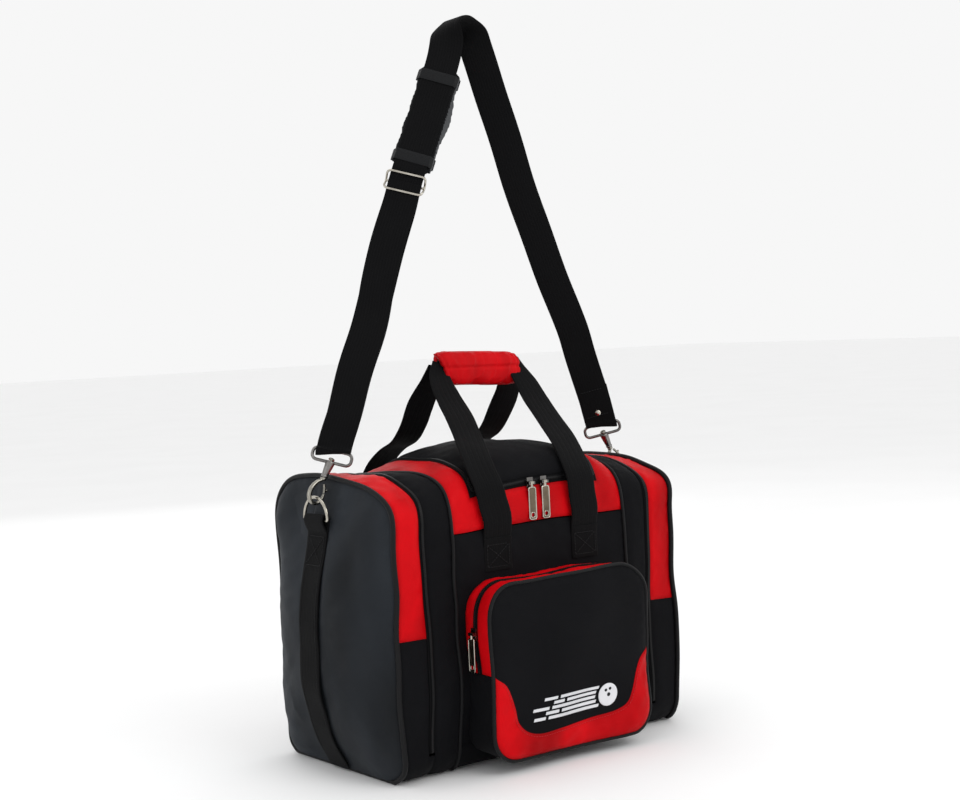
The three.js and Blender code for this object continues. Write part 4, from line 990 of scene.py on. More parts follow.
def ring_grid(name, part, y0, y1, t, mat, body, rep, seed, relief_amp=1.0, pillow=1.0, step=2.6):
    s = line_length(part)
    d2 = unit(np.column_stack([np.gradient(part[:, 1]), -np.gradient(part[:, 0])]))

    def fn(u, v):
        x, z = np.interp(v, s, part[:, 0]), np.interp(v, s, part[:, 1])
        nx, nz = np.interp(v, s, d2[:, 0]), np.interp(v, s, d2[:, 1])
        return np.stack([x, u, z], 1), unit(np.stack([nx, np.zeros_like(nx), nz], 1))

    def rel(P, N, su, sv, d):
        near = np.exp(-((P - np.array((-110, -131, 151))) ** 2).sum(1) / 26 ** 2)
        return (1 - near) * relief_amp * (0.5 * along(P, 34, (0, 1, 0), 2.0, seed) * smooth(d / 7) + 0.5 * np.exp(-d / 6) * (1 - np.exp(-d / 1.5)) * spec(P, 10, seed + 1))

    return grid(name, xs(y0, y1, 2.4), np.linspace(0, s[-1], int(s[-1] / step) + 2), fn, t, mat, body=body, rep=rep, relief=rel, pillow=pillow,
                seamw=5, bend=slouch)


ringf = outline(1.3, 0)
kr = int(np.argmin(np.hypot(ringf[:, 0] - PX, ringf[:, 1] - PFOLD)))
lower_part = ringf[: kr + 1].copy()
lower_part[0, 1] = lower_part[-1, 1] = PFOLD - 0.3
upper_part = np.vstack([ringf[kr:], ringf[:1]]).copy()
upper_part[0, 1] = upper_part[-1, 1] = PFOLD + 0.3
PB = -113.3
ring_grid("pocket_gusset_lower_cloth", lower_part, PY + 2.7, PB, 2.0, BLACK, "bag", ["pocket_gusset_lower"], 81, 1.3)
ring_grid("pocket_gusset_rear_cloth", upper_part, -127.2, PB, 2.0, RED, "bag", ["pocket_gusset_rear"], 83, 0.9)
ring_grid("pocket_zip_tape", upper_part, -134.7, -127.5, 1.6, TAPE, "bag", ["pocket_zip"], 85, 0.0, 0.0)
ring_grid("pocket_gusset_front_cloth", upper_part, PY + 2.7, -135.0, 2.0, RED, "pocket_front", ["pocket_gusset_front"], 87, 0.9)
d2 = unit(np.column_stack([np.gradient(upper_part[:, 1]), -np.gradient(upper_part[:, 0])]))
up3 = np.stack([upper_part[:, 0], np.full(len(upper_part), -131.1), upper_part[:, 1]], 1)
teeth("pocket_zip_teeth", slouch(up3), np.stack([d2[:, 0], 0 * d2[:, 0], d2[:, 1]], 1), "bag")

# embroidery on the face: a plain ball with three holes and slanted speed bars, no lettering
emb = []


def sew(poly, dirn, lift=0.75):
    """A satin-stitched patch over a convex outline: raised, with rows of thread across it."""
    poly = np.asarray(poly, float)
    c = poly.mean(0)
    rings = [(1.0, -0.10), (0.985, 0.45), (0.93, 0.72), (0.8, 0.80), (0.55, 0.86), (0.25, 0.88)]
    b = resample(poly, 1.1, closed=True)
    pts = []
    for q, h in rings:
        xz = c + (b - c) * q
        pts.append(np.stack([xz[:, 0], face_y(xz[:, 0], xz[:, 1]) - h * lift - 0.1 * np.abs(np.sin((xz @ np.array(dirn)) * TAU / 1.1)), xz[:, 1]], 1))
    k = len(b)
    co = np.vstack(pts)
    f, uv = [], []
    for i in range(len(rings) - 1):
        for j in range(k):
            q4 = (i * k + j, i * k + (j + 1) % k, (i + 1) * k + (j + 1) % k, (i + 1) * k + j)
            f.append(q4)
            uv += [(co[x][0], co[x][2]) for x in q4]
    lastr = tuple((len(rings) - 1) * k + j for j in range(k))
    f.append(lastr)
    uv += [(co[x][0], co[x][2]) for x in lastr]
    firstr = tuple(reversed(range(k)))
    f.append(firstr)
    uv += [(co[x][0], co[x][2]) for x in firstr]
    emb.append((co, f, uv))


def bar(x0, x1, z0, z1, slant=0.34):
    sew([(x0 + (z0 - 50) * slant, z0), (x1 + (z0 - 50) * slant, z0), (x1 + (z1 - 50) * slant, z1), (x0 + (z1 - 50) * slant, z1)], (1, 0.35))


bc = np.array((45.0, 65.0))
br = 12.5
aa = np.linspace(0, TAU, 49)[:-1]
# the ball is sewn as one raised patch with rows of thread slanting across it, so that light runs over it as over thread
sew([bc + br * np.array((math.cos(a), math.sin(a))) for a in aa], (0.3, 1.0), 0.95)
for k, (z0, z1, xa) in enumerate(((53.5, 56.6, -62), (58.4, 61.5, -48), (63.3, 66.4, -66), (68.2, 71.3, -40), (73.1, 76.2, -54))):
    x = xa
    edge = bc[0] - math.sqrt(max(br ** 2 - ((z0 + z1) / 2 - bc[1]) ** 2, 0)) - 4.5 - ((z0 + z1) / 2 - 50) * 0.34
    cuts = [xa, xa + 15 + 3 * (k % 3), xa + 19 + 3 * (k % 3), edge]
    bar(cuts[0], cuts[1], z0, z1)
    bar(cuts[2], cuts[3], z0, z1)
co, f, uv = merge(emb)
e_ob = put("pocket_embroidery", slouch(co), f, uv, WHITE_THREAD, "bag", (), sharp=50)
holes = []
for hx, hz, r in ((41.5, 70.0, 1.7), (47.0, 71.2, 1.7), (45.5, 64.8, 2.1)):
    a = np.linspace(0, TAU, 25)[:-1]
    ring = np.stack([hx + r * np.cos(a), np.full(24, 0.0), hz + r * np.sin(a)], 1)
    ring[:, 1] = face_y(ring[:, 0], ring[:, 2]) - 1.06
    c0 = ring.mean(0)
    mid = c0 + (ring - c0) * 0.6 + np.array((0, -0.22, 0))
    back_ = ring + np.array((0, 0.6, 0))
    co = np.vstack([back_, ring, mid])
    f = [(i + 24 * q, (i + 1) % 24 + 24 * q, (i + 1) % 24 + 24 * (q + 1), i + 24 * (q + 1)) for q in (0, 1) for i in range(24)]
    f += [tuple(range(23, -1, -1)), tuple(range(48, 72))]
    holes.append((co, f, [(0, 0)] * sum(len(q) for q in f)))
co, f, uv = merge(holes)
put("embroidery_holes", slouch(co), f, uv, THREAD, "bag", ())


# ---------------------------------------------------------------- webbing, handles and grip
WEB, WT = 38.0, 2.3
X = np.array((1.0, 0, 0))
for s, side in ((-1, "left"), (1, "right")):
    # down the end of the bag, folded round the D-ring's bar at the top
    z = np.linspace(4, 262, 90)
    q = np.abs(z - 158) / 158
    b = (36 + (24 - 36) * smooth((z - 150) / 110)) * (1 - q ** 3)
    run = np.stack([s * (197.3 + b + 1.9), np.zeros_like(z), z], 1)
    run = sag(run) + np.array([s * 1.2, 0, 0])
    run[:, 1] += 1.2 * np.sin(z / 55) * smooth((250 - z) / 40)
    a = np.radians(np.linspace(-20, 205, 22))
    rr = 4.1
    fold = np.stack([s * (218.6 + rr * np.cos(a)), np.zeros_like(a), 277 + rr * np.sin(a)], 1)
    tail = np.array([[s * 214.9, 0, 268], [s * 216.6, 0, 258], [s * 216.4, 0, 250]])
    path = np.vstack([run, [[s * (run[-1, 0] * s * 0.35 + 223.0 * 0.65), 0, 270]], fold, tail])
    path = spline(resample(path, 7), 2.6)
    band(f"{side}_end_webbing_strip", path, (0, 1, 0), WEB, WT, WEBBING, "bag", [f"{side}_end_webbing"],
         ripple=lambda c, l: 0.25 * spec(c, 40, 101))
    # box stitching that holds the loop
    lines = []
    zt = np.linspace(228, 258, 14)

    def on_web(y, z, s=s):
        y, z = np.broadcast_arrays(np.asarray(y, float), np.asarray(z, float))
        q = np.abs(z - 158) / 158
        b = (36 + (24 - 36) * smooth((z - 150) / 110)) * (1 - q ** 3)
        p = sag(np.stack([s * (197.3 + b + 1.9), np.zeros_like(z), z], 1)) + np.array([s * 2.55, 0, 0])
        p[:, 1] += y + 1.2 * np.sin(z / 55) * smooth((250 - z) / 40)
        return p

    for yy in (-15, 15):
        lines.append((on_web(yy, zt), (s, 0, 0)))
        lines.append((on_web(yy, np.linspace(8, 226, 80)), (s, 0, 0)))
    for zz in (228, 258):
        lines.append((on_web(np.linspace(-15, 15, 12), zz), (s, 0, 0)))
    lines.append((on_web(np.linspace(-15, 15, 14), np.linspace(228, 258, 14)), (s, 0, 0)))
    lines.append((on_web(np.linspace(-15, 15, 14), np.linspace(258, 228, 14)), (s, 0, 0)))
    stitches(f"{side}_end_webbing_stitches", lines, THREAD, "bag")

for f, end in ((-1, "front"), (1, "rear")):
    body = f"{end}_handle_body"
    for s, side in ((-1, "left"), (1, "right")):
        # tab sewn to the wall: two layers with a boxed cross stitch, its lower edge folded under
        z = np.linspace(212, 247.6, 24)
        y = f * (114.9 + 0.5 * np.exp(-((z - 213) / 3) ** 2) + 0.9 * smooth((z - 238) / 9))
        tab = np.stack([np.full_like(z, s * 62.0), y, z], 1)
        band(f"{end}_{side}_tab_strip", tab, X, WEB, 2.6, WEBBING, "bag", [f"{end}_{side}_handle_tab"], ripple=lambda c, l: 0.2 * spec(c, 18, 103))
        g = lambda x, z: np.stack([s * 62 + np.broadcast_to(x, np.broadcast(x, z).shape), np.full(np.broadcast(x, z).shape, f * 116.35), np.broadcast_to(z, np.broadcast(x, z).shape)], 1)
        zz = np.linspace(216, 240, 12)
        xx = np.linspace(-15, 15, 14)
        lines = [(g(np.full(12, -15.0), zz), (0, f, 0)), (g(np.full(12, 15.0), zz), (0, f, 0)), (g(xx, np.full(14, 216.0)), (0, f, 0)), (g(xx, np.full(14, 240.0)), (0, f, 0)),
                 (g(xx, np.linspace(216, 240, 14)), (0, f, 0)), (g(xx, np.linspace(240, 216, 14)), (0, f, 0))]
        stitches(f"{end}_{side}_tab_stitches", lines, THREAD, "bag")
    parts = []
    for s in (-1, 1):
        # the two straps lean in towards the grip and gather as they run into its ends
        base = [(62, 114.9, 247.2), (62, 116.6, 254), (63.0 if s < 0 else 61.4, 119.0, 268)]
        if f < 0 and s < 0:
            pts = base + [(68, 119.3, 284), (72, 118.0, 303), (72.5, 107.5, 322), (68.5, 92, 338), (61, 71.5, 355), (58.5, 53.7, 372), (56.5, 34.5, 393), (56, 19, 412), (53, 10.5, 425), (48.5, 7.0, 436)]
        elif f < 0:
            pts = base + [(58.5, 119.3, 284), (57.5, 118.0, 303), (57.5, 107.5, 322), (60.0, 86, 343), (63.5, 60, 366), (64.0, 34, 393.5), (62.5, 22.6, 407), (58.5, 10.5, 425), (55, 7.0, 436)]
        elif s < 0:
            pts = base + [(62, 119.3, 298), (60.5, 108, 319), (58, 86, 336), (56.5, 62, 347), (59, 43.5, 361), (57, 30.5, 383), (51.5, 23, 399), (47.5, 16.5, 413), (44.5, 8.0, 434)]
        else:
            pts = base + [(62, 119.3, 298), (63, 108, 319), (64.5, 86, 336), (65, 62, 347), (64.5, 42.5, 362), (69, 29.5, 385), (70.5, 23, 399), (68, 15.5, 416), (59.5, 8.0, 434)]
        pts = np.array(pts)
        p = spline(pts * np.array((s, f, 1)), 4)
        p = resample(p, 3.6)
        k = smooth((p[:, 2] - 256) / 40) * smooth((405 - p[:, 2]) / 40)
        p[:, 0] += k * (1.3 * np.sin(p[:, 2] / 26 + f + s) + 0.7 * np.sin(p[:, 2] / 11 + 2 * s))
        p[:, 1] += k * 1.2 * np.sin(p[:, 2] / 31 + s)
        parts.append(band_data(p, X, WEB, WT, ripple=lambda c, l: 0.55 * spec(c, 46, 105) * smooth((l - 14) / 20), taper=np.interp(p[:, 2], [388, 406, 421, 434], [1.0, 0.90, 0.74, 0.56])))
    # the run inside the grip, standing on edge, its corners folded into the legs
    n = 30
    x = np.linspace(-44, 57, n)
    p = np.stack([x, np.full(n, f * 5.6) + f * 0.5 * np.sin(x / 17), np.full(n, 428.0)], 1)
    parts.append(band_data(p, (0, 0, 1), 33, 2.2, taper=1 - 0.30 * smooth((np.abs(x - 6.5) - 38) / 12)))
    co, fc, uv = merge(parts)
    put(f"{end}_handle_webbing", co, fc, uv, WEBBING, body, [f"{end}_handle"])


# ---------------------------------------------------------------- padded pieces
def puff(ob, voxel, pressure, frames_n, cap, pin=None, fix=None):
    """Swells a closed mesh as stuffed cloth, by simulation, and keeps every point within the cap of where it was."""
    bpy.context.view_layer.objects.active = ob
    for o in bpy.context.selected_objects:
        o.select_set(False)
    ob.select_set(True)
    r = ob.modifiers.new("remesh", "REMESH")
    r.mode = "VOXEL"
    r.voxel_size = voxel
    bpy.ops.object.modifier_apply(modifier="remesh")
    me = ob.data
    n = len(me.vertices)
    rest = np.zeros(n * 3, np.float32)
    me.vertices.foreach_get("co", rest)
    rest = rest.reshape(-1, 3).astype(float)
    if pin is not None:
        vg = ob.vertex_groups.new(name="pin")
        w = np.clip(pin(rest), 0, 1)
        for k in np.nonzero(w > 0.01)[0]:
            vg.add([int(k)], float(w[k]), "REPLACE")
    c = ob.modifiers.new("cloth", "CLOTH")
    c.settings.quality = 5
    c.settings.mass = 0.25
    c.settings.tension_stiffness = 12
    c.settings.compression_stiffness = 12
    c.settings.bending_stiffness = 0.6
    c.settings.use_pressure = True
    c.settings.uniform_pressure_force = pressure
    c.settings.effector_weights.gravity = 0
    c.collision_settings.use_collision = False
    c.point_cache.frame_start, c.point_cache.frame_end = 1, frames_n
    if pin is not None:
        c.settings.vertex_group_mass = "pin"
    for k in range(1, frames_n + 1):
        scene.frame_set(k)
    dg = bpy.context.evaluated_depsgraph_get()
    ev = ob.evaluated_get(dg)
    got = np.zeros(n * 3, np.float32)
    tmp = ev.to_mesh()
    tmp.vertices.foreach_get("co", got)
    ev.to_mesh_clear()
    ob.modifiers.remove(c)
    scene.frame_set(1)
    d = got.reshape(-1, 3).astype(float) - rest
    l = np.linalg.norm(d, axis=1)
    l[l == 0] = 1
    d *= (np.minimum(l, cap * 0.001) / l)[:, None]
    co = rest + d
    if fix is not None:
        co = fix(co)
    me.vertices.foreach_set("co", co.astype(np.float32).ravel())
    me.update()
    return ob


def normals(me):
    n = np.zeros(len(me.vertices) * 3, np.float32)
    me.vertex_normals.foreach_get("vector", n)
    return n.reshape(-1, 3).astype(float)


def finish_soft(ob, relief, mats, axis_u=0, levels=1, seam=None, index=None):
    """Smooths the swollen mesh once, presses its seams and creases in, and lays out the weave over it."""
    sub = ob.modifiers.new("sub", "SUBSURF")
    sub.levels = sub.render_levels = levels
    bpy.context.view_layer.objects.active = ob
    bpy.ops.object.modifier_apply(modifier="sub")
    me = ob.data
    n = len(me.vertices)
    co = np.zeros(n * 3, np.float32)
    me.vertices.foreach_get("co", co)
    co = co.reshape(-1, 3).astype(float) * 1000
    N = normals(me)
    co = co + N * relief(co, N)[:, None]
    me.vertices.foreach_set("co", (co * 0.001).astype(np.float32).ravel())
    a = me.attributes.new("seam", "FLOAT", "POINT")
    a.data.foreach_set("value", np.asarray(seam(co) if seam else np.full(n, 9.0), np.float32))
    for u in list(me.uv_layers):
        me.uv_layers.remove(u)
    uv = me.uv_layers.new(name="Cloth")
    me.calc_loop_triangles()
    out = np.zeros((len(me.loops), 2), np.float32)
    for poly in me.polygons:
        pn = np.abs(np.array(poly.normal))
        k = int(np.argmax(pn))
        ax = [i for i in range(3) if i != k]
        for li in poly.loop_indices:
            c = co[me.loops[li].vertex_index]
            out[li] = (c[ax[0]] * 0.001, c[ax[1]] * 0.001)
    uv.data.foreach_set("uv", out.ravel())
    me.materials.clear()
    for m in mats if isinstance(mats, list) else [mats]:
        me.materials.append(m)
    if index is not None:
        mi = np.array([index(np.array(p.center) * 1000) for p in me.polygons], np.int32)
        me.polygons.foreach_set("material_index", mi)
    me.shade_smooth()
    me.update()


def loft(name, rings):
    """A closed mesh through rings of points, the first and last capped."""
    m = len(rings[0])
    co = np.vstack(rings)
    faces = [(i * m + k, i * m + (k + 1) % m, (i + 1) * m + (k + 1) % m, (i + 1) * m + k) for i in range(len(rings) - 1) for k in range(m)]
    faces += [tuple(range(m - 1, -1, -1)), tuple((len(rings) - 1) * m + k for k in range(m))]
    return put(name, co, faces, [(0, 0)] * sum(len(f) for f in faces), [], None, sharp=None)


GZ0, GZ1 = 409.0, 449.0
for f, end in ((-1, "front"), (1, "rear")):
    sec = np.array([[0.9, GZ0 + 0.8], [5.5, GZ0 + 1.0], [10.5, GZ0 + 3.5], [13.6, GZ0 + 9], [14.6, 429], [13.6, GZ1 - 9], [10.5, GZ1 - 3.5], [5.5, GZ1 - 1.0], [0.9, GZ1 - 0.8],
                    [0.9, GZ1 - 5.0], [5.2, GZ1 - 5.2], [7.8, GZ1 - 9], [8.4, 429], [7.8, GZ0 + 9], [5.2, GZ0 + 5.2], [0.9, GZ0 + 5.0]])
    rings = []
    for x in np.linspace(-48 if f < 0 else -41, 61, 30):
        k = 1.04 - 0.10 * smooth((abs(x - 6.5) - 42) / 12)
        drop = -4.0 * smooth((x + 40) / 110) + 1.0
        lean = (-0.42 if f < 0 else -0.12) * smooth((20 - x) / 60) - 0.05 * smooth((x - 20) / 40)
        belly = 2.6 * smooth((x - 20) / 40) * (1 - ((sec[:, 1] - 429) / 20) ** 2)
        rings.append(np.stack([np.full(len(sec), x) + (sec[:, 1] - 429) * lean + belly, f * sec[:, 0], 429 + (sec[:, 1] - 429) * k + drop], 1))
    g = loft(f"grip_{end}_pad", rings)
    puff(g, 0.0026, 3.0, 14, 3.0, pin=lambda c: (np.abs(c[:, 1]) < 0.0022).astype(float) * 1.0,
         fix=lambda c, f=f: np.column_stack([c[:, 0], f * np.clip(np.abs(c[:, 1]) * np.sign(c[:, 1] * f), 0.0005, 0.0172), np.clip(c[:, 2], 0.402, 0.4535)]))

    def grip_relief(c, n, f=f):
        out = smooth((np.abs(c[:, 1]) - 6) / 4)
        h = 0.7 * out * along(c, 24, (0.25, 0, 1), 2.4, 111) + 1.0 * out * (crease(along(c, 22, (0.45, 0, 1), 3.0, 112)) - 0.25)
        h += -1.3 * out * np.exp(-((c[:, 2] - 430 + 0.03 * c[:, 0]) / 1.6) ** 2)       # the flap's edge across the middle
        h += 0.8 * out * smooth((c[:, 2] - 430) / 1.5)
        e = c[:, 0] + 0.42 * (c[:, 2] - 429) * smooth((20 - c[:, 0]) / 60)
        h += -1.1 * np.exp(-((np.abs(e - 6.5) - 50) / 1.5) ** 2)                          # hem seams at both ends
        return h

    finish_soft(g, grip_relief, GRIP_RED, seam=lambda c: 55 - np.abs(c[:, 0] + 0.42 * (c[:, 2] - 429) * smooth((20 - c[:, 0]) / 60) - 6.5))
    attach(g, f"{end}_handle_body")
    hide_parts(f"grip_{end}")


# ---------------------------------------------------------------- shoulder strap
YAW = math.radians(37)
FACE = np.array((math.cos(YAW), -math.sin(YAW), 0.0))
UPV = np.array((0, 0, 1.0))


def strand(a, b):
    d = unit(np.asarray(b, float) - np.asarray(a, float))
    w = unit(FACE - d * (FACE @ d))
    return d, w, unit(np.cross(w, d))


L_TOP = np.array((-80.6, 0, 641.5))
L_LOOP, R_LOOP, R_NEXT = np.array((-192.0, 0, 344.5)), np.array((194.0, 0, 348.0)), np.array((175.5, 0, 411.0))
ends = {}


def lathe(axis0, axis, prof, sides=28):
    """A turned piece: (distance along the axis, radius) pairs, closed at both ends."""
    e1 = unit(np.cross(axis, (0, 1, 0.2)))
    e2 = np.cross(axis, e1)
    rings = [axis0 + axis * k + r * (np.cos(a) * e1 + np.sin(a) * e2) for k, r in prof for a in np.arange(sides) / sides * TAU]
    co = np.array(rings)
    m = len(prof)
    f = [(i * sides + k, i * sides + (k + 1) % sides, (i + 1) * sides + (k + 1) % sides, (i + 1) * sides + k) for i in range(m - 1) for k in range(sides)]
    f += [tuple(range(sides - 1, -1, -1)), tuple((m - 1) * sides + k for k in range(sides))]
    return co, f, [(0, 0)] * sum(len(x) for x in f)


for s, side in ((-1, "left"), (1, "right")):
    top = np.array((s * 218.6, 0, 300.0))
    at_loop = L_LOOP if s < 0 else R_LOOP
    ax = unit(at_loop - top)
    ac = unit(np.cross((0, -1, 0), ax))
    at = lambda k: top + ax * k
    loc = lambda a, k: top + ac * a + ax * k
    # D-ring: round wire, its straight bar in the webbing
    a = np.radians(np.linspace(0, 180, 46))
    bow = np.stack([np.full(46, s * 218.6), 23 * np.cos(a), 277 + 23 * np.sin(a)], 1)
    corner = lambda t: np.array((s * 218.6, t, 277.0))
    bar_ = np.array([corner(-22.2) + (0, 0, -0.9), corner(-20.5) + (0, 0, -1.3), *[corner(q) + (0, 0, -1.3) for q in np.linspace(-18, 18, 19)], corner(20.5) + (0, 0, -1.3), corner(22.2) + (0, 0, -0.9)])
    tube(f"{side}_d_ring_wire", np.vstack([bow, bar_]), 1.9, NICKEL, f"{side}_ring", closed=True, sides=16, rep=[f"{side}_d_ring"])
    # snap hook: cast bow that thins towards its tip, neck and swivel pin with a peened head
    pts = [(-8.4, 7.4), (-8.6, 3), (-6.8, -2.9), (-3.5, -5.8), (0, -6.6), (3.5, -5.8), (6.8, -2.9), (8.6, 3), (8.2, 9), (5.2, 16), (1.7, 19.6), (0, 22.2)]
    path = spline([loc(*q) for q in pts], 0.9)
    t = np.linspace(0, 1, len(path))
    rad = 1.95 + 0.75 * np.exp(-((t - 0.62) / 0.25) ** 2) - 0.35 * np.exp(-(t / 0.05) ** 2)
    parts = [tube_data(path, rad, 16), lathe(top, ax, [(20.4, 0.8), (20.6, 2.9), (21.2, 3.3), (22.6, 3.3), (23.1, 2.9), (23.2, 2.0), (44.4, 2.0), (44.5, 3.3), (45.2, 3.6), (46.2, 3.2), (46.9, 2.0), (47.1, 0.5)])]
    co, f, uv = merge(parts)
    put(f"{side}_hook", co, f, uv, STEEL, f"{side}_hook", [f"{side}_snap_hook"])
    gp = spline([loc(-8.2, 8.6), loc(-6.5, 13.2), loc(-4.2, 17.6)], 0.8)
    knob = spline([loc(-7.6, 10.8), loc(-9.2, 11.6), loc(-10.2, 13.0)], 0.7)
    co, f, uv = merge([tube_data(gp, np.full(len(gp), 1.5), 14), tube_data(knob, 1.25 - 0.2 * np.linspace(0, 1, len(knob)), 12)])
    put(f"{side}_gate", co, f, uv, STEEL, f"{side}_gate", [f"{side}_hook_gate"])
    # swivel loop: tapered barrel with turned collars and a long rounded loop for the webbing
    d, w, n = strand(at_loop, L_TOP if s < 0 else R_NEXT)
    c = at(42.3) + d * (17 / 2 - 2.2)
    hw, hh, r = 47 / 2 - 1.8, 17 / 2 - 1.8, 5.4
    ringp = []
    for cx, cy, a0 in ((hw - r, -hh + r, -90), (hw - r, hh - r, 0), (-hw + r, hh - r, 90), (-hw + r, -hh + r, 180)):
        for q in np.radians(np.linspace(a0, a0 + 90, 10)):
            ringp.append(c + w * (cx + r * math.cos(q)) + d * (cy + r * math.sin(q)))
    co, f, uv = merge([tube_data(resample(np.array(ringp), 1.6, closed=True), 1.8, 16, closed=True),
                       lathe(top, ax, [(23.7, 2.4), (23.75, 3.4), (24.6, 3.9), (25.6, 3.9), (26.1, 3.5), (34, 4.5), (40.5, 5.2), (41.8, 5.2), (42.6, 4.6), (42.75, 2.4)])])
    put(f"{side}_swivel", co, f, uv, GUNMETAL, "strap", [f"{side}_swivel_loop"], index=None)
    ends[side] = (c, d, w, n, c + d * hh)


def wave(p, w, n, seed, amp=1.0):
    """Sideways and in-and-out waver of a hanging strap, none at its ends."""
    s = line_length(p)
    k = smooth(s / 40) * smooth((s[-1] - s) / 40)
    return p + w * (k * amp * (1.2 * np.sin(s / 47 + seed) + 0.7 * np.sin(s / 23 + 2 * seed)))[:, None] + n * (k * amp * (1.1 * np.sin(s / 37 + seed * 1.7)))[:, None]


# left strand, doubled: up from under the slider, round the loop's bar and back up in front
c, d, w, n, bar_c = ends["left"]
ltop = L_TOP - d * 0.4
back_l = np.linspace(0, 1, 60)[:, None] * (bar_c + d * 9 - ltop) + ltop - n * 1.45
a = np.radians(np.linspace(100, 440, 24))
r_ = 3.6
ubend = bar_c + np.outer(-np.sin(a), np.zeros(3)) + np.outer(-r_ * np.cos(a - math.pi / 2 - math.radians(10)), d) * 0
ang = np.linspace(math.radians(-62), math.radians(242), 22)
ubend = np.array([bar_c - n * (r_ * math.cos(q)) - d * (r_ * math.sin(q)) for q in ang])
front_l = np.linspace(0, 1, 60)[:, None] * (ltop - bar_c - d * 9) + bar_c + d * 9 + n * 1.45
bump = np.exp(-((np.linspace(0, 1, 60) - 0.43) / 0.13) ** 2)[:, None]
front_l = wave(front_l + w * 3.6 * bump, w, n * 0.45, 0.4)
back_l = wave(back_l + w * 2.6 * bump[::-1], w, n * 0.45, 0.9)
loop_path = spline(resample(np.vstack([back_l, ubend, front_l]), 5.0), 3.0)
band("strap_left_webbing", loop_path, FACE, WEB, 2.15, WEBBING, "strap", ["strap_left_loop"], ripple=lambda q, l: 0.35 * spec(q, 60, 121))

# main strand: from the slider over the top and down to the right end
up_d, up_w, up_n = strand(L_LOOP, L_TOP)
start = L_TOP + up_d * 1.7
p_d, p_w, p_n = strand(start, (-20, 0, 780))
pts = [L_TOP - up_d * 5, start, start + p_d * 50, start + p_d * 100, (-20.5, 0, 780), (-14.5, 0, 800), (-11.5, 0, 813), (-7.6, 0, 822.5), (-2.0, 0, 827.8), (4.5, 0, 829.2), (11.0, 0, 827.6), (16.4, 0, 822.2), (20.8, 0, 813), (25.0, 0, 799), (36, 0, 769),
       (62, 0, 698), (90, 0, 629), (115.5, 0, 558), (145.5, 0, 485), (161.5, 0, 449), (175.5, 0, 411)]
rc, rd, rw, rn, rbar = ends["right"]
pts += [rbar + rd * 30 + rn * 1.4, rbar + rd * 10 + rn * 1.5]
main = spline(np.array([np.asarray(q, float) for q in pts]), 3.2)
main = resample(main, 3.2)
sm = line_length(main)
k = smooth((sm - 165) / 50) * smooth((sm[-1] - 60 - sm) / 60)
main = main + FACE * (k * (1.3 * np.sin(sm / 41) + 0.7 * np.sin(sm / 19 + 1)))[:, None] + np.array((0, 1, 0)) * (k * 1.0 * np.sin(sm / 53))[:, None]
ang = np.linspace(math.radians(242), math.radians(-62), 22)
rub = np.array([rbar - rn * (3.5 * math.cos(q)) - rd * (3.5 * math.sin(q)) for q in ang])
rtail = np.linspace(0, 1, 16)[:, None] * (rd * 38) + rbar + rd * 9 - rn * 1.3
main2 = spline(resample(np.vstack([main, rub, rtail]), 4.0), 3.0)
run_m = line_length(main2)
g = 1 - smooth((np.abs(run_m - run_m[int(np.argmax(main2[:, 2]))]) - 8) / 32)[:, None]
turned = unit(FACE * (1 - g) + np.array((0, -1.0, 0)) * g)          # it lies square over its support at the very top
band("strap_main_webbing", main2, turned, WEB, 2.15, WEBBING, "strap", ["strap_main", "strap_right_end"], ripple=lambda q, l: 0.35 * spec(q, 60, 122))
# sewn end with its rivet
lines = []
for o in (12, 44):
    lines.append((rbar + rd * o + np.linspace(-15, 15, 12)[:, None] * rw + rn * 2.75, -rn * -1))
stitches("strap_end_stitches", lines + [(q - rn * 5.3, -rn) for q, _ in lines], THREAD, "strap")
rv = rbar + rd * 15 + rn * 1.2
co, f, uv = merge([lathe(rv, rn, [(1.0, 3.4), (1.3, 3.5), (1.9, 3.1), (2.3, 2.0), (2.45, 0.6)]), lathe(rv, -rn, [(3.6, 3.2), (3.9, 3.3), (4.5, 2.9), (4.9, 1.8), (5.0, 0.6)])])
put("strap_rivet", co, f, uv, NICKEL, "strap", ())

# slider on the strap: a bent wire frame and its middle bar
cc = L_TOP - up_d * 2
hw, hh, r = 22.1, 10.6, 4.2
fr = []
for cx, cy, a0 in ((hw - r, -hh + r, -90), (hw - r, hh - r, 0), (-hw + r, hh - r, 90), (-hw + r, -hh + r, 180)):
    for q in np.radians(np.linspace(a0, a0 + 90, 8)):
        fr.append(cc + up_w * (cx + r * math.cos(q)) + up_d * (cy + r * math.sin(q)) + up_n * (3.6 - 3.4 * 0))
fr = resample(np.array(fr), 1.6, closed=True)
# its sides dip behind the strap to carry the middle bar
loc_d = (fr - cc) @ up_d
loc_w = np.abs((fr - cc) @ up_w)
fr = fr - up_n * (7.3 * smooth((loc_w - 19.5) / 1.6) * (1 - smooth((np.abs(loc_d) - 1.0) / 7.5)))[:, None]
mid_bar = cc + np.linspace(-21.6, 21.6, 20)[:, None] * up_w - up_n * 3.7
co, f, uv = merge([tube_data(fr, 1.3, 14, closed=True), tube_data(mid_bar, 1.3, 14)])
put("strap_slider", co, f, uv, NICKEL, "adjuster", ["strap_adjuster"])

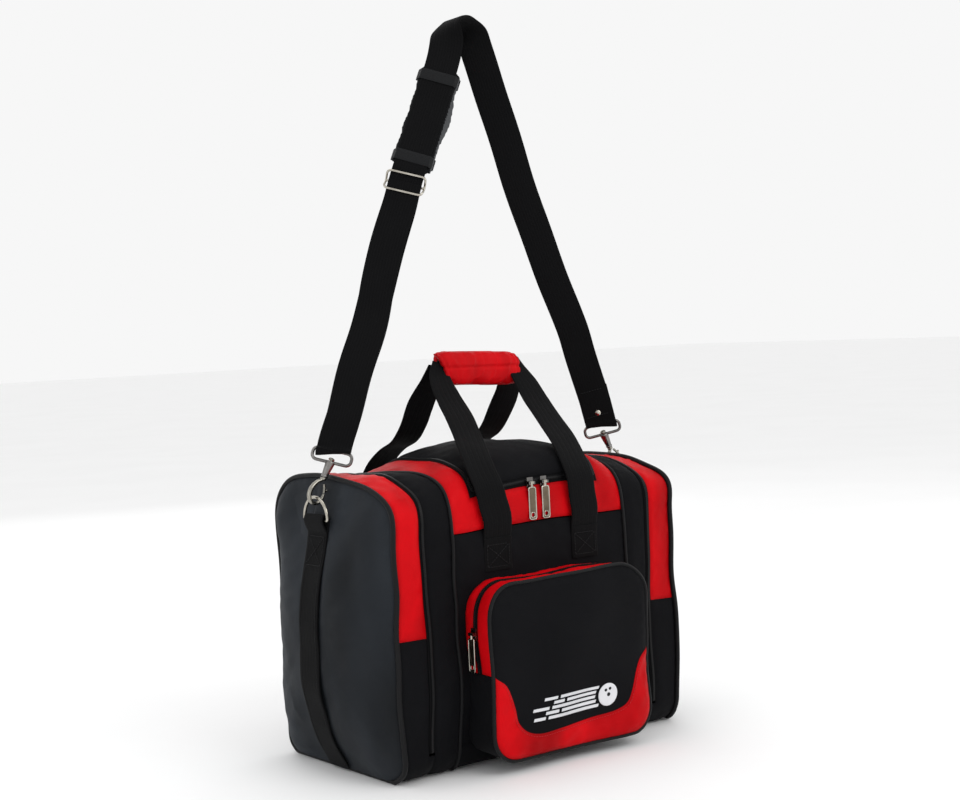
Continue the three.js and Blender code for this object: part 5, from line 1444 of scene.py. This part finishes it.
# shoulder pad: stuffed sleeve behind the strap, bound at its edges, with two keepers in front
mid = start + p_d * 78
m_sec = 30
rings = []
for y in np.linspace(-64, 64, 32):
    e = 1 - smooth((abs(y) - 57.5) / 6.6) * 0.30
    tt = 1 - smooth((abs(y) - 55) / 9) * 0.55
    a = np.arange(m_sec) / m_sec * TAU
    u = np.sign(np.cos(a)) * np.abs(np.cos(a)) ** 0.42 * 24.8 * (1 - 0.06 * (1 - e) / 0.3)
    u = u + 5.4 * np.exp(-((y - 2) / 34) ** 2) * smooth(u / 20)
    v = np.sign(np.sin(a)) * np.abs(np.sin(a)) ** 0.75 * 3.0 * tt
    rings.append(mid + p_d * y + np.outer(u, p_w) + np.outer(v - 5.3, p_n))
pad = loft("shoulder_pad_cushion", rings)


def pad_local(c):
    q = c * (1000 if np.abs(c).max() < 10 else 1) - mid
    return q @ p_w, q @ p_d, q @ p_n


def pad_fix(c):
    q = c * 1000 - mid
    u, v, h = q @ p_w, q @ p_d, q @ p_n
    h = np.clip(h, -11.5, -1.7)
    return (mid + np.outer(np.clip(u, -26.2, 31.6), p_w) + np.outer(v, p_d) + np.outer(h, p_n)) / 1000


puff(pad, 0.0028, 4.0, 14, 2.2, fix=pad_fix)


def pad_relief(c, nrm):
    q = c - mid
    u, v, h = q @ p_w, q @ p_d, q @ p_n
    back_side = smooth((-h - 3.2) / 2.0)
    out = 0.35 * spec(c, 26, 131) * back_side
    out -= 1.1 * np.exp(-((np.abs(u) - 20.4) / 0.9) ** 2) * back_side            # edge binding's seam
    out -= 0.9 * np.exp(-((np.abs(v) - 60.0) / 0.9) ** 2) * back_side
    for x0 in (-24, 0, 24):
        out -= 0.8 * np.exp(-((v - x0) / 1.4) ** 2) * back_side * smooth((19 - np.abs(u)) / 3)   # quilting
    return out


finish_soft(pad, pad_relief, [PAD, BINDING], seam=lambda c: np.minimum(23.5 - np.abs((c - mid) @ p_w), 63.5 - np.abs((c - mid) @ p_d)) * 1.5,
            index=lambda c: 1 if (abs((c - mid) @ p_w) > 22.4) else 0)
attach(pad, "pad")
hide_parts("shoulder_pad")
for k, nm in ((-1, "lower"), (1, "upper")):
    o = mid + p_d * (k * 50)
    sec2 = []
    for cx, cy, a0 in ((23.4, -8.0, -90), (18.9, 0.6, 20), (-18.9, 0.6, 90), (-23.4, -8.0, 160)):
        for q in np.radians(np.linspace(a0, a0 + 80, 7)):
            sec2.append((cx + 1.3 * math.cos(q), cy + 1.3 * math.sin(q)))
    sec2 = resample(np.array(sec2), 2.2, closed=True)
    ringp = o + np.outer(sec2[:, 0], p_w) + np.outer(sec2[:, 1], p_n)
    # a flat band on edge round the pad and the strap, closed on itself
    nn2 = unit(np.column_stack([np.roll(sec2[:, 1], -1) - np.roll(sec2[:, 1], 1), -(np.roll(sec2[:, 0], -1) - np.roll(sec2[:, 0], 1))]))
    out3 = np.outer(nn2[:, 0], p_w) + np.outer(nn2[:, 1], p_n)
    prof2 = [(-6.2, 0.0), (-6.4, 0.2), (-6.1, 0.4), (-3.0, 0.5), (0, 0.45), (3.0, 0.5), (6.1, 0.4), (6.4, 0.2), (6.2, 0.0), (0, -0.1)]
    M2 = len(prof2)
    co = np.array([ringp[i] + p_d * a_ + out3[i] * b_ for i in range(len(ringp)) for a_, b_ in prof2])
    s2 = line_length(np.vstack([ringp, ringp[:1]]))
    f, uv = [], []
    L = len(ringp)
    for i in range(L):
        for q in range(M2):
            q1 = (q + 1) % M2
            f.append((i * M2 + q, i * M2 + q1, ((i + 1) % L) * M2 + q1, ((i + 1) % L) * M2 + q))
            uv += [(prof2[q][0], s2[i]), (prof2[q1][0], s2[i]), (prof2[q1][0], s2[i + 1]), (prof2[q][0], s2[i + 1])]
    put(f"pad_keeper_{nm}", co, f, uv, KEEPER, "pad", ())

# ---------------------------------------------------------------- zip sliders and pulls: cast metal kept from the frame, its edges eased
for nme in ("lid_slider_left", "lid_slider_right", "pocket_slider", "left_end_slider", "right_end_slider"):
    o = NODES[nme]
    o.data.materials.clear()
    o.data.materials.append(GUNMETAL)
    bv = o.modifiers.new("bevel", "BEVEL")
    bv.width, bv.segments, bv.limit_method, bv.angle_limit = 0.0006, 3, "ANGLE", math.radians(40)
    bv.harden_normals = False


def pull_piece(node, body, pin, ex, ey, length):
    """A zip pull: a raised plated rim round a darker sunk panel, a slot at its free end and a knuckle on the pin."""
    ex, ey, pin = np.asarray(ex, float), np.asarray(ey, float), np.asarray(pin, float)
    ez = np.cross(ex, ey)
    P3 = lambda a, b, c: pin + ex * a + ey * (b + 0.9 * min(1.0, max(0.0, -c / 9))) + ez * c

    def rr(x0, x1, z0, z1, r, n=8):
        p = []
        for cx, cz, a0 in ((x1 - r, z0 + r, -90), (x1 - r, z1 - r, 0), (x0 + r, z1 - r, 90), (x0 + r, z0 + r, 180)):
            for q in np.radians(np.linspace(a0, a0 + 90, n)):
                p.append((cx + r * math.cos(q), cz + r * math.sin(q)))
        return np.array(p)

    outer = rr(-4.75, 4.75, -length + 0.75, -5.0, 2.2)
    slot_ = rr(-2.7, 2.7, -length + 2.9, -length + 8.2, 1.7)
    parts = [tube_data(np.array([P3(a, 0, c) for a, c in resample(outer, 0.9, True)]), 0.82, 10, closed=True),
             tube_data(np.array([P3(a, 0, c) for a, c in resample(slot_, 0.8, True)]), 0.62, 8, closed=True)]
    # knuckle
    parts.append(tube_data(np.array([P3(0, 0, c) for c in np.linspace(-5.4, -1.2, 6)]), np.linspace(1.6, 1.9, 6), 10))
    parts.append(tube_data(np.array([P3(a, 0, 0) for a in np.linspace(-2.3, 2.3, 8)]), 1.95, 16))
    nm_faces = sum(len(x[1]) for x in parts)
    # the sunk panel between the rim and the slot
    A, B = resample(outer, 0.9, True), resample(slot_, 0.9, True)
    m = len(A)
    B = np.array([B[int(round(i * len(B) / m)) % len(B)] for i in range(m)])
    k = [np.argmin(np.hypot(*(B - A[0]).T))][0]
    B = np.roll(B, -k, axis=0)
    lay = []
    for h in (0.42, -0.42):
        lay += [np.array([P3(a, h, c) for a, c in A]), np.array([P3(a, h, c) for a, c in B])]
    co = np.vstack(lay)
    f = []
    for i in range(m):
        j = (i + 1) % m
        f += [(i, j, m + j, m + i), (2 * m + j, 2 * m + i, 3 * m + i, 3 * m + j), (m + i, m + j, 3 * m + j, 3 * m + i), (j, i, 2 * m + i, 2 * m + j)]
    parts.append((co, f, [(0, 0)] * sum(len(x) for x in f)))
    allc, allf, alluv = merge(parts)
    idx = [0] * nm_faces + [1] * (len(allf) - nm_faces)
    return put(f"{node}_cast", allc, allf, alluv, [NICKEL, BRONZE], body, [node], index=idx)


FX, FY = (-1, 0, 0), (0, -1, 0)
pull_piece("lid_pull_left", "lid_pull_left_body", (-11, -114.9, 302), FX, FY, 41)
pull_piece("lid_pull_right", "lid_pull_right_body", (8, -114.9, 302), FX, FY, 41)
pull_piece("left_end_pull", "left_end_pull_body", (-158.2, 117.2, 78), (1, 0, 0), (0, 1, 0), 38)
pull_piece("right_end_pull", "right_end_pull_body", (158.2, 117.2, 78), (1, 0, 0), (0, 1, 0), 38)
pull_piece("pocket_pull", "pocket_pull_body", (-114.2, -131.1, 151), (0, 1, 0), (-1, 0, 0), 41)

# ---------------------------------------------------------------- inside: board and cup
o = NODES["base_board"]
o.data.materials.clear()
o.data.materials.append(BOARD)
bv = o.modifiers.new("bevel", "BEVEL")
bv.width, bv.segments, bv.limit_method, bv.angle_limit = 0.001, 3, "ANGLE", math.radians(40)
prof = spline(np.array([[51, 0, 8.2], [50.4, 0, 14], [51.2, 0, 20], [56, 0, 25], [62, 0, 29.4], [64.5, 0, 30.6], [68, 0, 29.6], [72.2, 0, 27.6], [73.6, 0, 25.6], [73.6, 0, 12], [73.4, 0, 8.2]]), 1.4)
m = len(prof)
sd = 96
a = np.arange(sd) / sd * TAU
co = np.array([(q[0] * math.cos(t_), q[0] * math.sin(t_), q[2]) for t_ in a for q in np.vstack([prof, [[62, 0, 7.6]]])])
m += 1
f = [(i * m + k, i * m + (k + 1) % m, ((i + 1) % sd) * m + (k + 1) % m, ((i + 1) % sd) * m + k) for i in range(sd) for k in range(m)]
put("ball_cup_ring", co, f, [(0, 0)] * (4 * len(f)), FOAM, "bag", ["ball_cup"])


# ---------------------------------------------------------------- floor, lights, camera
bpy.ops.mesh.primitive_plane_add(size=40, location=(0, 0, -0.0006))
floor = bpy.context.object
floor.name = "floor"
fm, fnt, fb = begin("studio_floor")
tcf = fnt.nodes.new("ShaderNodeTexCoord")
fn_ = noise(fnt, tcf.outputs["Object"], 3, 3)
link(fnt, ramp(fnt, fn_, 0.3, 0.7, (0.93, 0.93, 0.93), (0.95, 0.95, 0.95)), fb.inputs["Base Color"])
fb.inputs["Roughness"].default_value = 0.75
floor.data.materials.append(fm)

world = bpy.data.worlds.new("studio")
scene.world = world
world.use_nodes = True
bg = world.node_tree.nodes["Background"]
bg.inputs[0].default_value = (1.0, 1.0, 1.0, 1)
bg.inputs[1].default_value = 0.93


def softbox(name, at, target, w, h, power, color=(1, 1, 1)):
    li = bpy.data.lights.new(name, "AREA")
    li.shape = "RECTANGLE"
    li.size, li.size_y, li.energy, li.color = w, h, power, color
    ob = bpy.data.objects.new(name, li)
    scene.collection.objects.link(ob)
    ob.location = at
    ob.rotation_mode = "QUATERNION"
    ob.rotation_quaternion = (Vector(target) - Vector(at)).to_track_quat("-Z", "Y")
    return ob


softbox("key", (0.35, -2.1, 1.75), (0.0, -0.05, 0.25), 1.5, 1.1, 15)
softbox("left_fill", (-2.6, -0.5, 1.0), (0, 0, 0.3), 1.6, 1.6, 6, (0.90, 0.95, 1.0))
softbox("top", (0.1, 0.4, 2.4), (0, 0, 0.3), 1.6, 1.6, 6)
softbox("rear", (0.8, 2.6, 1.2), (0, 0, 0.3), 1.8, 1.4, 5)
softbox("right_fill", (2.7, -0.3, 1.0), (0, 0, 0.3), 1.4, 1.4, 4)

az, el, roll = math.radians(-37.3), math.radians(2.5), math.radians(-2.55)
back = Vector((math.sin(az) * math.cos(el), -math.cos(az) * math.cos(el), math.sin(el)))
right = (-back).cross(Vector((0, 0, 1))).normalized()
up = right.cross(-back)
rx = right * math.cos(roll) + up * math.sin(roll)
ux = -right * math.sin(roll) + up * math.cos(roll)
eye = Vector((0.0108, 0, 0.391)) + back * 1.955
cam_data = bpy.data.cameras.new("camera")
scene.view_settings.view_transform = "Standard"
cam_data.sensor_width = 36
cam_data.lens = 1686.0 / 960 * 36
cam_data.clip_start, cam_data.clip_end = 0.05, 60
cam = bpy.data.objects.new("camera", cam_data)
scene.collection.objects.link(cam)
m = Matrix((rx, ux, back)).transposed().to_4x4()
m.translation = eye
cam.matrix_world = m
scene.camera = cam

bpy.context.view_layer.update()
